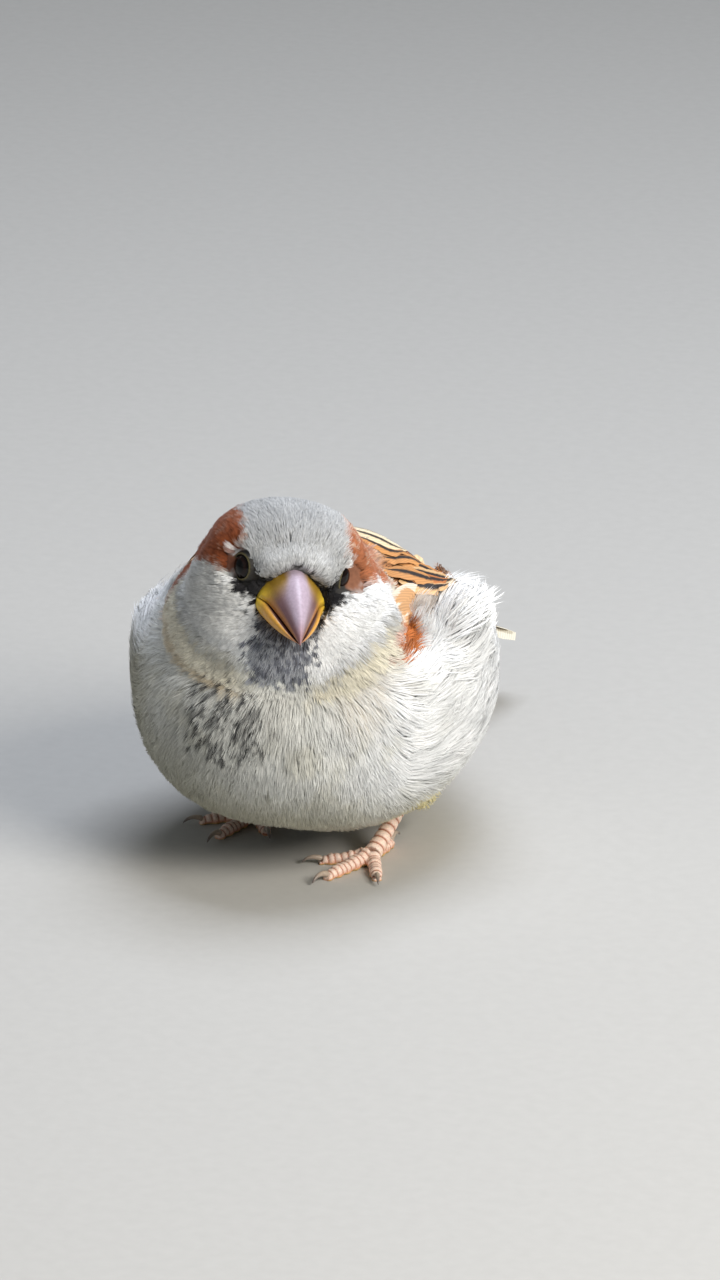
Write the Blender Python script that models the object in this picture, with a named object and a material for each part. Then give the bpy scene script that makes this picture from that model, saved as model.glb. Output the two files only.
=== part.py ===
"""House sparrow, adult male in fresh plumage, life size, standing low with its feathers fluffed.

Metres, +Z up. The bird faces -Y, so its left side is +X. The solids reach out to the tips of the
plumage. The origin is on the floor under the middle of the whole bird's box.

Trunk, neck, head and thighs are rounded bodies, each a set of rings between two poles. A body that
meets another is carved by a copy of it, grown by GAP, so that neighbours never overlap.
"""

import math

import bmesh
import bpy
from mathutils import Matrix, Vector

MM = 0.001
GAP = 0.3 * MM  # clearance between two pieces that meet

# Trunk, measured from its own middle, which is where it is widest.
TRUNK_MIDDLE = Vector((-0.8, 0, 31.5)) * MM
TRUNK_HALF_WIDTH = 29.2 * MM
TRUNK_FRONT = 37.0 * MM
TRUNK_BACK = 47.0 * MM
TRUNK_ABOVE = 19.5 * MM
TRUNK_BELOW = 26.5 * MM
BELLY_SQUARENESS = 2.5  # superellipse power of the lower half, 2 is a plain ellipse
RUMP_DROP = 3.0 * MM  # how far the rear end hangs below the middle
RUMP_TAPER = 0.34  # share of the width that the rear end loses, at the back
VENT_TAPER = 0.10  # the same share at the belly
MANTLE_RIDGE = 7.0 * MM  # how far the mantle rises between the wings
MANTLE_HEADING = Vector((0, -0.12, 1))

# Fluffed flank: where it lies on the trunk's unit sphere, its spread there, how far out and up.
FLANK_HEADING = Vector((0.95, 0.05, 0.02))
FLANK_SPREAD = 0.6
FLANK_BULGE = 1.9 * MM
TUFT_HEADING = Vector((0.94, 0.0, 0.30))
TUFT_SPREAD = 0.27
TUFT_OUT = 2.0 * MM
TUFT_RISE = 5.4 * MM

# Neck ruff and head.
NECK_MIDDLE = Vector((0.8, -17.5, 43.5)) * MM
NECK_RADII = Vector((21.8, 18.0, 18.0)) * MM
HEAD_MIDDLE = Vector((1.6, -22.0, 52.8)) * MM
HEAD_HALF_WIDTH = 16.4 * MM
HEAD_FRONT = 12.2 * MM
HEAD_BACK = 14.0 * MM
HEAD_ABOVE = 15.2 * MM
HEAD_BELOW = 14.0 * MM
FACE_PINCH = 0.24  # share of the width that the face loses towards the bill
HEAD_TURN = math.radians(24)  # towards the bird's left
HEAD_DIP = math.radians(13)  # bill below level
HEAD_ROLL = math.radians(9)  # crown towards the bird's left

# Bill, in the head's own frame: +X left, -Y forward, +Z up.
BILL_BASE = 8.5 * MM  # ahead of the head's middle, under the feathers
BILL_TIP = 23.3 * MM
BILL_HALF_WIDTH = 5.8 * MM
BILL_MOUTH_BASE = 3.4 * MM  # height of the mouth line at the gape
BILL_MOUTH_TIP = 2.6 * MM
BILL_OVERBITE = 0.9 * MM  # how far the upper point reaches past the lower one
BILL_UPPER_DEPTH = 5.4 * MM
BILL_LOWER_DEPTH = 4.4 * MM

# Eye, in the head's own frame.
EYE_RADIUS = 2.9 * MM
EYE_MIDDLE = Vector((7.3, -5.4, 6.4)) * MM

# Tail: a closed fan of twelve feathers, arched across and notched at its tip.
TAIL_ROOT = Vector((-0.5, 40.0, 32.0)) * MM
TAIL_TIP = Vector((0.0, 87.5, 12.8)) * MM
TAIL_ROOT_HALF_WIDTH = 4.6 * MM
TAIL_TIP_HALF_WIDTH = 7.6 * MM
TAIL_THICKNESS = 2.0 * MM
TAIL_ARCH = 1.2 * MM
TAIL_NOTCH = 2.4 * MM

# Folded wing, left side: along the wing from the bend to the tips of the primaries.
# Each row: x from the trunk's middle, y, z, outward tilt above level in degrees, half chord,
# half thickness.
WING_STATIONS = (
    (20.8, -17.5, 41.4, 46, 5.5, 1.6),
    (20.8, -9.0, 45.0, 54, 8.2, 2.1),
    (20.4, 3.0, 46.2, 56, 10.0, 2.3),
    (20.0, 17.0, 42.6, 54, 11.0, 2.1),
    (15.0, 31.0, 37.8, 54, 8.6, 1.7),
    (9.0, 45.0, 32.2, 60, 5.2, 1.2),
    (5.0, 58.0, 26.8, 68, 2.4, 0.7),
)
WING_WRAP = 25.0 * MM  # radius at which the wing wraps round the body

# Legs. The heel is inside the belly plumage, and the foot's own frame has its middle toe along -Y.
THIGH_MIDDLE = Vector((0, -0.8, 0.7)) * MM  # from the heel
THIGH_RADII = Vector((4.7, 7.4, 4.8)) * MM
TARSUS_RADIUS = 1.15 * MM
KNUCKLE_HEIGHT = 1.5 * MM
LEGS = {
    "left": {
        "foot": Vector((12.2, -7.1, 0)) * MM,
        "turn": math.radians(-20),
        "heel": Vector((14.2, 9.2, 10.0)) * MM,
    },
    "right": {
        "foot": Vector((-13.8, 7.2, 0)) * MM,
        "turn": math.radians(-12),
        "heel": Vector((-15.0, 23.2, 10.8)) * MM,
    },
}
# Toe: heading from the middle toe towards the outer side in degrees, length, radius, claw length.
TOES = {
    "inner": (-42, 7.6, 1.0, 4.4),
    "middle": (0, 11.0, 1.1, 5.2),
    "outer": (43, 8.6, 1.0, 4.4),
    "hallux": (198, 7.2, 1.1, 6.0),
}
TOE_START = 1.5 * MM  # from the foot's middle, where the tarsus comes down
TOE_FLAT = 0.18 * MM  # depth of pad that the floor presses flat
CLAW_CURL = math.radians(95)  # turn of a claw from its root to its point
CLAW_CLEARANCE = 0.2 * MM  # claw points stay this far above the floor

MATERIALS = {
    # name: red, green, blue, roughness
    "belly_plumage": (0.62, 0.60, 0.55, 0.9),
    "neck_plumage": (0.66, 0.63, 0.57, 0.9),
    "head_plumage": (0.34, 0.33, 0.31, 0.9),
    "wing_plumage": (0.38, 0.20, 0.09, 0.8),
    "tail_plumage": (0.12, 0.09, 0.07, 0.8),
    "bill_horn": (0.42, 0.30, 0.22, 0.4),
    "eye_dark": (0.02, 0.012, 0.008, 0.05),
    "leg_skin": (0.52, 0.20, 0.11, 0.55),
    "claw_horn": (0.20, 0.13, 0.11, 0.35),
}


def material(name):
    """The named material, made on first use."""
    found = bpy.data.materials.get(name)
    if found:
        return found
    red, green, blue, roughness = MATERIALS[name]
    made = bpy.data.materials.new(name)
    made.use_nodes = True
    shader = made.node_tree.nodes["Principled BSDF"]
    shader.inputs["Base Color"].default_value = (red, green, blue, 1)
    shader.inputs["Roughness"].default_value = roughness
    shader.inputs["Metallic"].default_value = 0.0
    return made


def empty(name, location, rotation=Matrix.Identity(3)):
    """A guide that carries pieces: their own frame."""
    made = bpy.data.objects.new(name, None)
    made.matrix_world = Matrix.Translation(location) @ rotation.to_4x4()
    bpy.context.scene.collection.objects.link(made)
    return made


def loft(name, rings, finish, parent=None):
    """A closed body through rings of points. The first and last rings may be single points."""
    bm = bmesh.new()
    rows = [[bm.verts.new(point) for point in ring] for ring in rings]
    for here, following in zip(rows, rows[1:]):
        count = max(len(here), len(following))
        for i in range(count):
            j = (i + 1) % count
            if len(here) == 1:
                bm.faces.new((here[0], following[j], following[i]))
            elif len(following) == 1:
                bm.faces.new((here[i], here[j], following[0]))
            else:
                bm.faces.new((here[i], here[j], following[j], following[i]))
    for end in (rows[0], rows[-1]):
        if len(end) > 1:
            bm.faces.new(end)
    bmesh.ops.recalc_face_normals(bm, faces=bm.faces[:])
    bmesh.ops.triangulate(bm, faces=bm.faces[:])
    mesh = bpy.data.meshes.new(name)
    bm.to_mesh(mesh)
    bm.free()
    mesh.shade_smooth()
    mesh.materials.append(material(finish))
    made = bpy.data.objects.new(name, mesh)
    made.parent = parent
    bpy.context.scene.collection.objects.link(made)
    return made


def ball(name, place, finish, around=32, along=16, parent=None):
    """A rounded body with its poles along Y: place moves each point of a unit sphere."""
    rings = []
    for i in range(along + 1):
        slope = math.pi * i / along
        y = -math.cos(slope)
        radius = math.sin(slope)
        if i in (0, along):
            rings.append([place(Vector((0, y, 0)))])
            continue
        turns = [2 * math.pi * k / around for k in range(around)]
        rings.append([place(Vector((radius * math.sin(a), y, radius * math.cos(a)))) for a in turns])
    return loft(name, rings, finish, parent)


def grown(body, by=GAP):
    """A cutter: the body's own mesh before any carving, with its surface moved outwards."""
    mesh = body.data.copy()
    moved = [vertex.co + vertex.normal * by for vertex in mesh.vertices]
    for vertex, place in zip(mesh.vertices, moved):
        vertex.co = place
    made = bpy.data.objects.new(f"{body.name}_cutter", mesh)
    made.parent = body.parent
    made.hide_render = True
    made.display_type = "WIRE"
    bpy.context.scene.collection.objects.link(made)
    return made


def carve(body, *neighbours):
    """Cuts the room that its neighbours need out of a body."""
    for neighbour in neighbours:
        cut = body.modifiers.new(f"room_for_{neighbour.name}", "BOOLEAN")
        cut.operation = "DIFFERENCE"
        cut.solver = "EXACT"
        cut.object = bpy.data.objects.get(f"{neighbour.name}_cutter") or grown(neighbour)


def smooth_step(value):
    """0 below 0, 1 above 1, and an S between them."""
    value = min(max(value, 0.0), 1.0)
    return value * value * (3 - 2 * value)


def hill(place, top, spread):
    """A smooth rise: 1 at its top, falling away over about its spread."""
    return math.exp(-(((place - top).length / spread) ** 2))


def superellipse(x, z, power):
    """How much further out a rounded square reaches than a circle, in the direction of x and z."""
    length = math.hypot(x, z)
    if length < 1e-9:
        return 1
    return (abs(x / length) ** power + abs(z / length) ** power) ** (-1 / power)


def between(rows, share):
    """The smooth curve through equally spaced rows of numbers, at a share from 0 to 1."""
    place = share * (len(rows) - 1)
    first = min(int(place), len(rows) - 2)
    t = place - first
    before, here, following, after = (
        rows[min(max(first + k, 0), len(rows) - 1)] for k in (-1, 0, 1, 2)
    )
    return [
        b + 0.5 * t * (c - a + t * (2 * a - 5 * b + 4 * c - d + t * (3 * (b - c) + d - a)))
        for a, b, c, d in zip(before, here, following, after)
    ]


def trunk_point(unit):
    """The trunk's plumage: deep round belly, sloping back, tapering to the tail, full flanks."""
    back = max(unit.y, 0)
    taper = VENT_TAPER + (RUMP_TAPER - VENT_TAPER) * smooth_step(unit.z + 0.6)
    width = TRUNK_HALF_WIDTH * (1 - taper * back**1.7)
    reach = TRUNK_FRONT if unit.y < 0 else TRUNK_BACK
    if unit.z > 0:
        height, fuller = TRUNK_ABOVE * (1 - 0.3 * back**2), 1
    else:
        height, fuller = TRUNK_BELOW * (1 - 0.3 * back**2), superellipse(unit.x, unit.z, BELLY_SQUARENESS)
    side = Vector((abs(unit.x), unit.y, unit.z))
    tuft = hill(side, TUFT_HEADING, TUFT_SPREAD)
    out = FLANK_BULGE * hill(side, FLANK_HEADING, FLANK_SPREAD) + TUFT_OUT * tuft
    rise = TUFT_RISE * tuft + MANTLE_RIDGE * hill(unit, MANTLE_HEADING, 0.5)
    return TRUNK_MIDDLE + Vector(
        (
            unit.x * width * fuller + math.copysign(out, unit.x),
            unit.y * reach,
            unit.z * height * fuller + rise - RUMP_DROP * smooth_step(unit.y),
        )
    )


def neck_point(unit):
    """The ruff of feathers between the head and the breast."""
    return NECK_MIDDLE + Vector(a * b for a, b in zip(unit, NECK_RADII))


def head_point(unit):
    """The feathered head in its own frame, narrowing from the cheeks to the bill."""
    front = smooth_step(-unit.y)
    width = HEAD_HALF_WIDTH * (1 - FACE_PINCH * front)
    height = HEAD_ABOVE if unit.z > 0 else HEAD_BELOW
    reach = HEAD_FRONT if unit.y < 0 else HEAD_BACK
    return Vector((unit.x * width, unit.y * reach, unit.z * height))


def bill_rings(upper, sides=14, steps=8):
    """Half a bill from its root to its point: an arch over, or a keel under, the mouth line."""
    length = BILL_TIP - BILL_BASE - (0 if upper else BILL_OVERBITE)
    rings = []
    for i in range(steps + 1):
        share = i / steps
        y = -BILL_BASE - length * share
        mouth = BILL_MOUTH_BASE + (BILL_MOUTH_TIP - BILL_MOUTH_BASE) * share
        if i == steps:
            rings.append([Vector((0, y, mouth + (0.2 * MM if upper else -GAP - 0.2 * MM)))])
            continue
        width = BILL_HALF_WIDTH * (1 - share**1.5) ** 0.85
        depth = BILL_UPPER_DEPTH * (1 - share**1.7) ** 0.8 if upper else BILL_LOWER_DEPTH * (1 - share**1.8)
        roundness = 0.95 if upper else 0.7  # the lower half is boxier, as its two rami stand apart
        ring = []
        for k in range(sides + 1):
            turn = math.pi * k / sides
            height = depth * math.sin(turn) ** roundness
            z = mouth + height if upper else mouth - GAP - height
            ring.append(Vector((width * math.cos(turn), y, z)))
        rings.append(ring)
    return rings


def make_head():
    """Head, bill and eyes, in a frame that is turned, dipped and rolled as one."""
    rotation = (
        Matrix.Rotation(HEAD_TURN, 3, "Z")
        @ Matrix.Rotation(HEAD_DIP, 3, "X")
        @ Matrix.Rotation(HEAD_ROLL, 3, "Y")
    )
    frame = empty("head_frame", HEAD_MIDDLE, rotation)
    head = ball("head", head_point, "head_plumage", 26, 14, frame)
    upper = loft("bill_upper", bill_rings(True), "bill_horn", frame)
    lower = loft("bill_lower", bill_rings(False), "bill_horn", frame)
    eyes = []
    for side, sign in (("left", 1), ("right", -1)):
        middle = Vector((sign * EYE_MIDDLE.x, EYE_MIDDLE.y, EYE_MIDDLE.z))
        eyes.append(ball(f"eye_{side}", lambda unit: middle + unit * EYE_RADIUS, "eye_dark", 12, 7, frame))
    carve(head, upper, lower, *eyes)
    return head, upper, lower


def make_wing(side, sign):
    """A folded wing: a lens across, wrapped round the body, from the bend to the primary tips."""
    rings = []
    steps = 12
    sides = 16
    for i in range(steps + 1):
        x, y, z, tilt, chord, thickness = between(WING_STATIONS, i / steps)
        outward = Vector((math.cos(math.radians(tilt)), 0, math.sin(math.radians(tilt))))
        across = Vector((-outward.z, 0, outward.x))
        middle = Vector((x, y, z)) * MM
        ring = []
        for k in range(sides):
            turn = 2 * math.pi * k / sides
            span = chord * MM * math.cos(turn)
            lift = thickness * MM * math.sin(turn) - span**2 / (2 * WING_WRAP)
            point = middle + across * span + outward * lift
            ring.append(Vector((TRUNK_MIDDLE.x + sign * point.x, point.y, point.z)))
        rings.append(ring)
    tip = rings[-1]
    rings.append([sum(tip, Vector()) / len(tip) + Vector((0, 1.4, -0.6)) * MM])
    bend = rings[0]
    rings.insert(0, [sum(bend, Vector()) / len(bend) + Vector((0, -1.6, 0)) * MM])
    return loft(f"wing_{side}", rings, "wing_plumage")


def make_tail():
    """The closed tail: an arched slab that widens to a notched tip."""
    axis = TAIL_TIP - TAIL_ROOT
    forward = axis.normalized()
    left = Vector((forward.y, -forward.x, 0)).normalized()
    up = left.cross(forward)
    rings = []
    steps = 10
    sides = 8
    for i in range(steps + 1):
        share = i / steps
        half = TAIL_ROOT_HALF_WIDTH + (TAIL_TIP_HALF_WIDTH - TAIL_ROOT_HALF_WIDTH) * share
        thick = TAIL_THICKNESS * (1 - 0.4 * share)
        top, under = [], []
        for k in range(sides + 1):
            across = 2 * k / sides - 1
            notch = TAIL_NOTCH * (1 - abs(across)) * share**4
            round_off = 1.6 * MM * across**4 * share**4
            place = TAIL_ROOT + axis * share - forward * (notch + round_off)
            place = place + left * half * across - up * TAIL_ARCH * across**2
            edge = thick / 2 * (1 - 0.5 * across**2)
            top.append(place + up * edge)
            under.append(place - up * edge)
        rings.append(top + under[::-1])
    return loft("tail", rings, "tail_plumage")


def tube_rings(path, radii, sides, floor=None):
    """Rings square to a path, each with a flat side down. A floor clips them to a foot's flats."""
    rings = []
    for i, place in enumerate(path):
        heading = (path[min(i + 1, len(path) - 1)] - path[max(i - 1, 0)]).normalized()
        level = heading.cross(Vector((0, 0, 1))).normalized()
        rise = level.cross(heading)
        ring = []
        for k in range(sides):
            turn = 2 * math.pi * (k + 0.5) / sides
            point = place + (level * math.cos(turn) + rise * math.sin(turn)) * radii[i]
            if floor is not None:
                point.z = max(point.z, floor)
            ring.append(point)
        rings.append(ring)
    return rings


def make_toe(name, side, sign, frame):
    """One toe with its row of pads, flat underneath, and the claw that grows from its end."""
    heading, length, radius, claw_length = TOES[name]
    length, radius, claw_length = length * MM, radius * MM, claw_length * MM
    turn = math.radians(heading) * sign
    ahead = Vector((math.sin(turn), -math.cos(turn), 0))
    pads = 4 if name == "outer" else 3
    steps = 7
    sides = 8
    underside = math.cos(math.pi / sides)  # height of the middle above the lowest side, per radius
    path, radii = [], []
    for i in range(steps + 1):
        share = i / steps
        swell = 1 + 0.13 * math.cos(2 * math.pi * pads * share)
        radii.append(radius * (1.08 - 0.22 * share) * swell)
        arch = 0.5 * MM * math.exp(-((share / 0.25) ** 2))
        height = radii[-1] * underside - TOE_FLAT + arch
        path.append(ahead * (TOE_START + length * share) + Vector((0, 0, height)))
    radii[-1] *= 0.72
    path[-1].z = path[-2].z
    toe = loft(f"toe_{name}_{side}", tube_rings(path, radii, sides, 0.0), "leg_skin", frame)

    bend = claw_length / CLAW_CURL
    root = ahead * (TOE_START + length - 0.4 * MM) + Vector((0, 0, radius * 0.95))
    start = math.radians(30)
    claw_path, claw_radii = [], []
    claw_steps = 5
    for i in range(claw_steps + 1):
        share = i / claw_steps
        angle = start - CLAW_CURL * share
        drop = bend * (math.cos(angle) - math.cos(start))
        out = bend * (math.sin(start) - math.sin(angle))
        claw_path.append(root + ahead * out + Vector((0, 0, drop)))
        claw_radii.append(radius * 0.62 * (1 - share) ** 0.7)
    lowest = claw_path[-1].z - CLAW_CLEARANCE
    for i, place in enumerate(claw_path):
        place.z -= min(lowest, 0) * (i / claw_steps) ** 1.5
    rings = tube_rings(claw_path[:-1], claw_radii[:-1], 6) + [[claw_path[-1]]]
    claw = loft(f"claw_{name}_{side}", rings, "claw_horn", frame)
    carve(toe, claw)
    return toe


def make_leg(side, sign):
    """Feathered thigh, bare tarsus and a foot of four toes."""
    leg = LEGS[side]
    heel = leg["heel"]
    foot = leg["foot"]
    knuckle = foot + Vector((0, 0, KNUCKLE_HEIGHT))
    thigh = ball(
        f"thigh_{side}",
        lambda unit: heel + THIGH_MIDDLE + Vector(a * b for a, b in zip(unit, THIGH_RADII)),
        "belly_plumage",
        16,
        8,
    )
    steps = 6
    path, radii = [], []
    for i in range(steps + 1):
        share = i / steps
        sag = -0.5 * MM * math.sin(math.pi * share)
        path.append(knuckle.lerp(heel, share) + Vector((0, 0, sag)))
        waist = 1 + 0.3 * abs(2 * share - 1) ** 3
        radii.append(TARSUS_RADIUS * waist)
    tarsus = loft(f"tarsus_{side}", tube_rings(path, radii, 10, 0.35 * MM), "leg_skin")
    carve(thigh, tarsus)
    frame = empty(f"foot_frame_{side}", foot, Matrix.Rotation(leg["turn"], 3, "Z"))
    placed = []
    for name in ("middle", "hallux", "inner", "outer"):
        toe = make_toe(name, side, sign, frame)
        carve(toe, tarsus, *placed)
        placed.append(toe)
    return thigh, tarsus


def main():
    """Builds the bird, then sets the middle of its box's base on the origin."""
    for old in list(bpy.data.objects):
        bpy.data.objects.remove(old)

    head, upper, lower = make_head()
    neck = ball("neck", neck_point, "neck_plumage", 24, 12)
    trunk = ball("trunk", trunk_point, "belly_plumage", 36, 20)
    tail = make_tail()
    wings = [make_wing(side, sign) for side, sign in (("left", 1), ("right", -1))]
    carve(neck, head, upper, lower)
    carve(trunk, head, neck, tail, *wings)
    for wing in wings:
        carve(wing, neck)
    for side, sign in (("left", 1), ("right", -1)):
        thigh, tarsus = make_leg(side, sign)
        carve(thigh, trunk)
        carve(trunk, tarsus)

    bpy.context.view_layer.update()
    corners = [
        piece.matrix_world @ vertex.co
        for piece in bpy.data.objects
        if piece.type == "MESH" and not piece.hide_render
        for vertex in piece.data.vertices
    ]
    low = [min(corner[i] for corner in corners) for i in range(3)]
    high = [max(corner[i] for corner in corners) for i in range(3)]
    stand = empty("sparrow", Vector((0, 0, 0)))
    for piece in bpy.data.objects:
        if piece.parent is None and piece is not stand:
            piece.parent = stand
    stand.location = (-(low[0] + high[0]) / 2, -(low[1] + high[1]) / 2, -low[2])


main()
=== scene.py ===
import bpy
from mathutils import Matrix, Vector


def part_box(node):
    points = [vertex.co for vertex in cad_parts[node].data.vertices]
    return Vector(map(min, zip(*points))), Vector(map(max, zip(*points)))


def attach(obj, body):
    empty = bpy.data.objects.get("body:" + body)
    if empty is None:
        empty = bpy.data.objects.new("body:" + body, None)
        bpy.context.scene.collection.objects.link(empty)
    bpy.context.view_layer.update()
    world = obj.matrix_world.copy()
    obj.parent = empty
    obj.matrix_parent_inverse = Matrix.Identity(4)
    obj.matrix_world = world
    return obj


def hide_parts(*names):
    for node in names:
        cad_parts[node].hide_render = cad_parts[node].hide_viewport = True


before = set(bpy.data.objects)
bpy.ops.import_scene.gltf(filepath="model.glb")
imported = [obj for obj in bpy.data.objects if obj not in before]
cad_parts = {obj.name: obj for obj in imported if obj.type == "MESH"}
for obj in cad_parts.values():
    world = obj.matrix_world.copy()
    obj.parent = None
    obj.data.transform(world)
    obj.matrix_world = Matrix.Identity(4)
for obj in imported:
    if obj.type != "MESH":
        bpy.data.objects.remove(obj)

"""House sparrow, a life-size still model: skin, coat, flight feathers, bill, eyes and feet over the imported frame."""

import itertools
import logging
import math
from dataclasses import dataclass, field
from enum import Enum
from typing import Iterable, Sequence

import bmesh
import bpy
import numpy as np
from bmesh.types import BMEdge, BMesh
from bpy.types import Material, Mesh, Node, NodeSocket, NodeTree, Object
from mathutils import Matrix, Vector
from mathutils.bvhtree import BVHTree
from mathutils.kdtree import KDTree

Array = np.ndarray
MM = 0.001
UV_BAKE = "OFBake"
PAINT = "Markings"
TINTED = {"data_type": "RGBA", "blend_type": "MULTIPLY"}  # how a mix node shades one colour by another
SIDES = {"left": 1.0, "right": -1.0}
log = logging.getLogger("house_sparrow")


def hex_tone(code: str) -> Array:
    """Turns an sRGB hex colour to linear values.

    Args:
        code: The colour as "#RRGGBB".

    Returns:
        Its three linear channels.
    """
    channels = np.array([int(code[i : i + 2], 16) / 255 for i in (1, 3, 5)])
    return np.where(channels <= 0.04045, channels / 12.92, ((channels + 0.055) / 1.055) ** 2.4)


def rgba(code: str) -> tuple[float, float, float, float]:
    """Gives a hex colour as a shader socket takes it."""
    return (*map(float, hex_tone(code)), 1.0)


def ease(value: Array, start: float, end: float) -> Array:
    """Climbs smoothly from 0 at start to 1 at end, which may lie below start."""
    share = np.clip((value - start) / (end - start), 0, 1)
    return share * share * (3 - 2 * share)


def unit(vectors: Array) -> Array:
    """Scales each row to a length of one."""
    return vectors / np.maximum(np.linalg.norm(vectors, axis=-1, keepdims=True), 1e-12)


def flatten_on(vectors: Array, normals: Array) -> Array:
    """Takes out what each vector has along its normal, and scales the rest to one."""
    return unit(vectors - normals * np.sum(vectors * normals, axis=-1, keepdims=True))


def swung(ways: Array, normals: Array, yaw: Array) -> Array:
    """Turns each way about its normal by its own angle."""
    return ways * np.cos(yaw)[:, None] + np.cross(normals, ways) * np.sin(yaw)[:, None]


def blend(first: Array, second: Array, share: Array) -> Array:
    """Mixes two colour rows by a share of the second for each row."""
    return first + (second - first) * share[..., None]


def washed(tone: str, washes: Iterable[tuple[str | Array, Array]]) -> Array:
    """Lays washes of colour over a plain tone.

    Args:
        tone: The tone underneath, as a hex colour.
        washes: Each wash's colour, hex or linear, and how far it covers each place.

    Returns:
        A linear colour for each place.
    """
    laid = hex_tone(tone)
    for colour, share in washes:
        laid = blend(laid, hex_tone(colour) if isinstance(colour, str) else colour, share)
    return laid


def away(places: Array, spot: Sequence[float] = (0, 0, 0)) -> Array:
    """Gives each place's distance from a spot."""
    return np.linalg.norm(places - np.array(spot), axis=-1)


def feed(tree: NodeTree, node: Node, links: dict) -> Node:
    """Gives a node's inputs what they take.

    Args:
        tree: The node's tree.
        node: The node.
        links: For each input, by name or number, the socket or value it gets.

    Returns:
        The node.
    """
    for socket, value in links.items():
        if isinstance(value, NodeSocket):
            tree.links.new(value, node.inputs[socket])
        else:
            node.inputs[socket].default_value = value
    return node


def add_node(tree: NodeTree, kind: str, links: dict | None = None, **settings) -> Node:
    """Adds a node with its settings and links.

    Args:
        tree: The node tree that takes it.
        kind: The node's type.
        links: For each input, by name or number, the socket or value it gets.
        **settings: The node's own properties.

    Returns:
        The new node.
    """
    node = tree.nodes.new(kind)
    for key, value in settings.items():
        setattr(node, key, value)
    return feed(tree, node, links or {})


def new_surface(name: str) -> tuple[Material, NodeTree]:
    """Starts a material named for what the real one is, and gives it with its node tree."""
    material = bpy.data.materials.new(name)
    material.use_nodes = True
    return material, material.node_tree


def dress_surface(tree: NodeTree, links: dict) -> None:
    """Gives the surface shader its sockets and values."""
    feed(tree, tree.nodes["Principled BSDF"], links)


class Pattern(Enum):
    """What makes a grain: the texture node, and the output that it is read from."""

    NOISE = ("ShaderNodeTexNoise", "Fac")
    CELLS = ("ShaderNodeTexVoronoi", "Distance")


@dataclass(frozen=True)
class Grain:
    """A fine texture over a painted piece, which shades, roughens and raises it."""

    pattern: Pattern
    size: float  # mm
    shade: dict[int, float]  # the shading's range, as a Map Range node takes it
    rough: tuple[float, float]
    raised: tuple[float, float] = (0.0, 0.0)  # strength, and height in mm
    sunken: bool = False
    detail: dict[str, float] = field(default_factory=dict)

    def make(self, name: str, links: dict) -> Material:
        """Builds a material that shows the piece's own colours through the grain.

        Args:
            name: The material's name.
            links: What else the surface takes.

        Returns:
            The material.
        """
        material, tree = new_surface(name)
        paint = add_node(tree, "ShaderNodeAttribute", attribute_name=PAINT)
        spot = add_node(tree, "ShaderNodeTexCoord")
        kind, output = self.pattern.value
        fine = {"Vector": spot.outputs["Object"], "Scale": 1000 / self.size}
        grain = add_node(tree, kind, fine | self.detail).outputs[output]
        shade = add_node(tree, "ShaderNodeMapRange", {0: grain} | self.shade)
        tint = {0: 1.0, 6: paint.outputs["Color"], 7: shade.outputs[0]}
        colour = add_node(tree, "ShaderNodeMix", tint, **TINTED)
        links = {"Base Color": colour.outputs[2], "Roughness": self.rough[0]} | links
        if self.rough[0] != self.rough[1]:
            rough = add_node(tree, "ShaderNodeMapRange", {0: grain, 3: self.rough[0], 4: self.rough[1]})
            links["Roughness"] = rough.outputs[0]
        strength, height = self.raised
        if strength:
            bump = {"Height": grain, "Strength": strength, "Distance": height * MM}
            links["Normal"] = add_node(tree, "ShaderNodeBump", bump, invert=self.sunken).outputs[0]
        dress_surface(tree, links)
        return material


def ramp_stops(node: Node, stops: Sequence[tuple[float, str]]) -> None:
    """Sets a colour ramp's stops.

    Args:
        node: The ramp.
        stops: The place and the hex colour of each.
    """
    elements = node.color_ramp.elements
    while len(elements) > len(stops):
        elements.remove(elements[-1])
    while len(elements) < len(stops):
        elements.new(1.0)
    for element, (place, code) in zip(elements, stops):
        element.position = place
        element.color = rgba(code)


def link_mesh(mesh: Mesh) -> Object:
    """Puts a mesh in the scene as an object of the same name at the origin."""
    piece = bpy.data.objects.new(mesh.name, mesh)
    bpy.context.scene.collection.objects.link(piece)
    return piece


def place_piece(
    mesh: Mesh, material: Material, slot: str, replaced: Iterable[str] = ()
) -> Object:
    """Makes a piece of a finished mesh, dresses it, fixes it to the bird and reports it.

    Args:
        mesh: The mesh, which gives the piece its name.
        material: Its finish.
        slot: The record's material slot; not used.
        replaced: The CAD nodes that it stands for.

    Returns:
        The piece.
    """
    piece = link_mesh(mesh)
    mesh.materials.append(material)
    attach(piece, "root")
    for node in replaced:
        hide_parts(node)
    log.info("%s: %d faces", piece.name, len(mesh.polygons))
    return piece


def shade_smooth(mesh: Mesh) -> None:
    """Lets light run smoothly over a mesh's faces."""
    mesh.polygons.foreach_set("use_smooth", np.ones(len(mesh.polygons), bool))


def mesh_of(name: str, shape: BMesh) -> Mesh:
    """Turns a finished shape to a smooth mesh, and frees the shape.

    Args:
        name: The mesh's name.
        shape: The shape.

    Returns:
        The mesh.
    """
    mesh = bpy.data.meshes.new(name)
    shape.to_mesh(mesh)
    shape.free()
    shade_smooth(mesh)
    return mesh


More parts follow.
